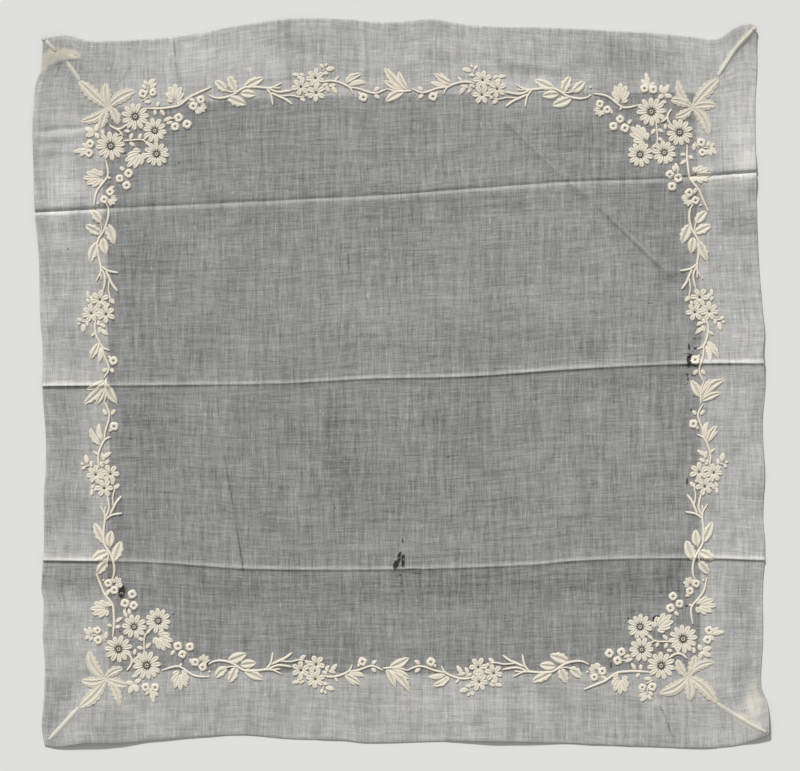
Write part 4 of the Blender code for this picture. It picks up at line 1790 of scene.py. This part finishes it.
@dataclass
class SideVine(StitchedPiece):
    """One side's vine: two mirrored halves that meet in a group of leaves."""

    plan: VinePlan

    def build(self) -> bpy.types.Object:
        """Stitches the vine."""
        plan, work = self.plan, self.begun()
        for mirrored in (False, True):
            layout = VineLayout(plan.side, plan.x, plan.y, plan.drift, mirrored)
            Embroiderer(work, layout).stitch(HALF_VINE)
        plain = VineLayout(plan.side, plan.x, plan.y, plan.drift)
        Embroiderer(work, plain).stitch(MIDDLE_LEAVES)
        return self.finished(f"vine_{plan.name}", work)


# --------------------------------------------------------------------------------------------
# Seams and frayed threads
# --------------------------------------------------------------------------------------------


@dataclass
class MitreSeams(StitchedPiece):
    """The hand-sewn seams that close the hem's four mitres."""

    seams: tuple[Stem, ...] = (
        Stem(((-184.8, 178.0), (-182, 175.2), (-179.2, 172.4)), 2.0, 0.5, 0.75),
        Stem(((-173.9, 167.0), (-170.5, 162.4), (-167.0, 157.6)), 2.0, 0.3, 0.85),
        Stem(((183.6, 184.0), (178.5, 178.5), (173.5, 173), (169, 166.5), (165, 160)),
             2.4, 0.4, 0.85),
        Stem(((164, -166.2), (170, -170.6), (176.3, -174.2), (183, -178.2), (189.4, -181.2)),
             2.4, 0.35, 0.85),
        Stem(((-182.6, -185.2), (-175.5, -177.6), (-167.6, -168.6)), 2.4, 0.3, 0.85),
    )

    def build(self) -> bpy.types.Object:
        """Stitches the seams."""
        work = self.begun()
        embroiderer = Embroiderer(work, PlainLayout())
        for seam in self.seams:
            embroiderer.stem(seam)
        work.dot(183.4, 183.8, 1.5, 0.9, tone=0.95)
        work.dot(-185.2, 178.4, 1.4, 0.8, tone=0.9)
        return self.finished("mitre_seams", work)


class PlainLayout(Layout):
    """The cloth's own places."""

    def place(self, a: float, b: float) -> tuple[float, float]:
        """The same place."""
        return a, b


@dataclass
class FrayedThreads(StitchedPiece):
    """Broken threads that cross the worn holes and straggle from their rims."""

    mat: float = 14.0  # dark threads for each square millimetre of a hole
    strands: tuple = (
        ((0.3, -88.4), (0.0, -92.0), (0.3, -96.6)),
        ((-3.9, -91.6), (-2.6, -92.2), (-1.2, -90.4)),
        ((-1.4, -96.6), (-0.6, -94.4), (-0.2, -92.8)),
        ((-146.2, -109.6), (-145.2, -109.0), (-144.2, -109.8)),
        ((146.6, 1.6), (147.4, -0.6), (148.8, 0.2), (148.2, 2.2)),
        ((150.6, 18.2), (153.2, 16.0), (156.6, 14.2)),
        ((150.9, 16.4), (151.8, 18.6), (153.6, 19.0)),
    )

    def build(self) -> bpy.types.Object:
        """Lays the threads: a dark mat across each hole, then light strands along it."""
        work = self.begun()
        uneven = work.uneven
        for tear in TEARS:
            for _ in range(round(tear.half_x * tear.half_y * self.mat)):
                y = tear.y + uneven.uniform(-1.0, 1.0) * tear.half_y
                x = tear.x + (y - tear.y) * tear.lean
                reach = tear.half_x * uneven.uniform(0.9, 1.15)
                sag = uneven.uniform(-0.9, 0.9)
                places = np.array([(x - reach, y), (x, y + sag), (x + reach, y + sag * 0.4)])
                self.lay(work, places, uneven.uniform(0.0, 0.12))
        for strand in self.strands:
            self.lay(work, np.array(strand), 0.9, 0.5)
        return self.finished("frayed_threads", work)

    def lay(
        self, work: Stitchwork, places: np.ndarray, tone: float, width: float = 0.3
    ) -> None:
        """Lays one thread through its places."""
        route = curve_through(places, 0.5)
        half = np.full(len(route), width / 2)
        work.pad(route, half, half, 0.18, across=3, tone=tone, base=0.02 + 0.3 * tone, foot=0.9)


# --------------------------------------------------------------------------------------------
# The studio
# --------------------------------------------------------------------------------------------


@dataclass
class Studio:
    """A pale floor, soft light and a camera straight above the cloth."""

    form: ClothForm
    view_width: float = 416.0  # of the floor that the camera sees, in millimetres
    view_x: float = -0.5
    view_y: float = -1.3
    camera_height: float = 1.6  # metres
    sensor: float = 36.0
    floor_side: float = 3.0  # metres

    def floor(self) -> bpy.types.Object:
        """Lays the floor."""
        ground = bmesh.new()
        bmesh.ops.create_grid(ground, x_segments=2, y_segments=2, size=self.floor_side / 2)
        mesh = bpy.data.meshes.new("floor")
        ground.to_mesh(mesh)
        ground.free()
        mesh.materials.append(FloorFinish().made())
        floor = added("floor", mesh)
        return floor

    def camera(self) -> None:
        """Sets the camera."""
        data = bpy.data.cameras.new("camera")
        data.sensor_width = self.sensor
        data.lens = self.sensor * self.camera_height / (self.view_width * MM)
        data.clip_start, data.clip_end = 0.05, 20.0
        camera = bpy.data.objects.new("camera", data)
        camera.location = (
            (self.view_x + self.form.shift_x) * MM,
            (self.view_y + self.form.shift_y) * MM,
            self.camera_height,
        )
        bpy.context.scene.collection.objects.link(camera)
        bpy.context.scene.camera = camera

    def light(self) -> None:
        """Sets a soft low key light from the top, a little to the left, and an even fill."""
        key = bpy.data.lights.new("key", "SUN")
        key.energy, key.angle = 3.2, math.radians(5)
        lamp = bpy.data.objects.new("key", key)
        towards = Vector((-0.28, 0.80, 0.62))
        lamp.rotation_euler = towards.to_track_quat("Z", "Y").to_euler()
        bpy.context.scene.collection.objects.link(lamp)
        world = bpy.data.worlds.new("studio")
        world.use_nodes = True
        backdrop = world.node_tree.nodes["Background"]
        backdrop.inputs["Color"].default_value = (0.98, 0.99, 1.0, 1.0)
        backdrop.inputs["Strength"].default_value = 0.40
        bpy.context.scene.world = world
        bpy.context.scene.view_settings.view_transform = "Standard"


def main() -> None:
    """Builds the handkerchief and its studio."""
    logging.basicConfig(level=logging.INFO, format="%(name)s: %(message)s")
    form = ClothForm.in_box(*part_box(NODE))
    studio = Studio(form)
    studio.camera()
    studio.floor()
    studio.light()

    linen = LinenSquare(form)
    cloth = linen.build()
    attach(cloth, BODY)
    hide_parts(NODE)
    log.info("%s: %d faces", cloth.name, len(cloth.data.polygons))

    thread, seam_thread, fray = WHITEWORK_THREAD.made(), SEAM_THREAD.made(), FRAYED_THREAD.made()
    height = linen.face_height
    stitched = [
        CornerSpray(form, thread, height, FIRST_CORNER_SEED + n, plan).build()
        for n, plan in enumerate(CORNERS)
    ]
    stitched += [
        SideVine(form, thread, height, FIRST_VINE_SEED + n, plan).build()
        for n, plan in enumerate(VINES)
    ]
    stitched.append(MitreSeams(form, seam_thread, height, SEAM_SEED).build())
    threads = FrayedThreads(form, fray, height, FRAY_SEED).build()
    stitched.append(threads)
    for piece in stitched:
        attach(piece, BODY)
        log.info("%s: %d faces", piece.name, len(piece.data.polygons))
    linen.declare()


if __name__ == "__main__":
    main()
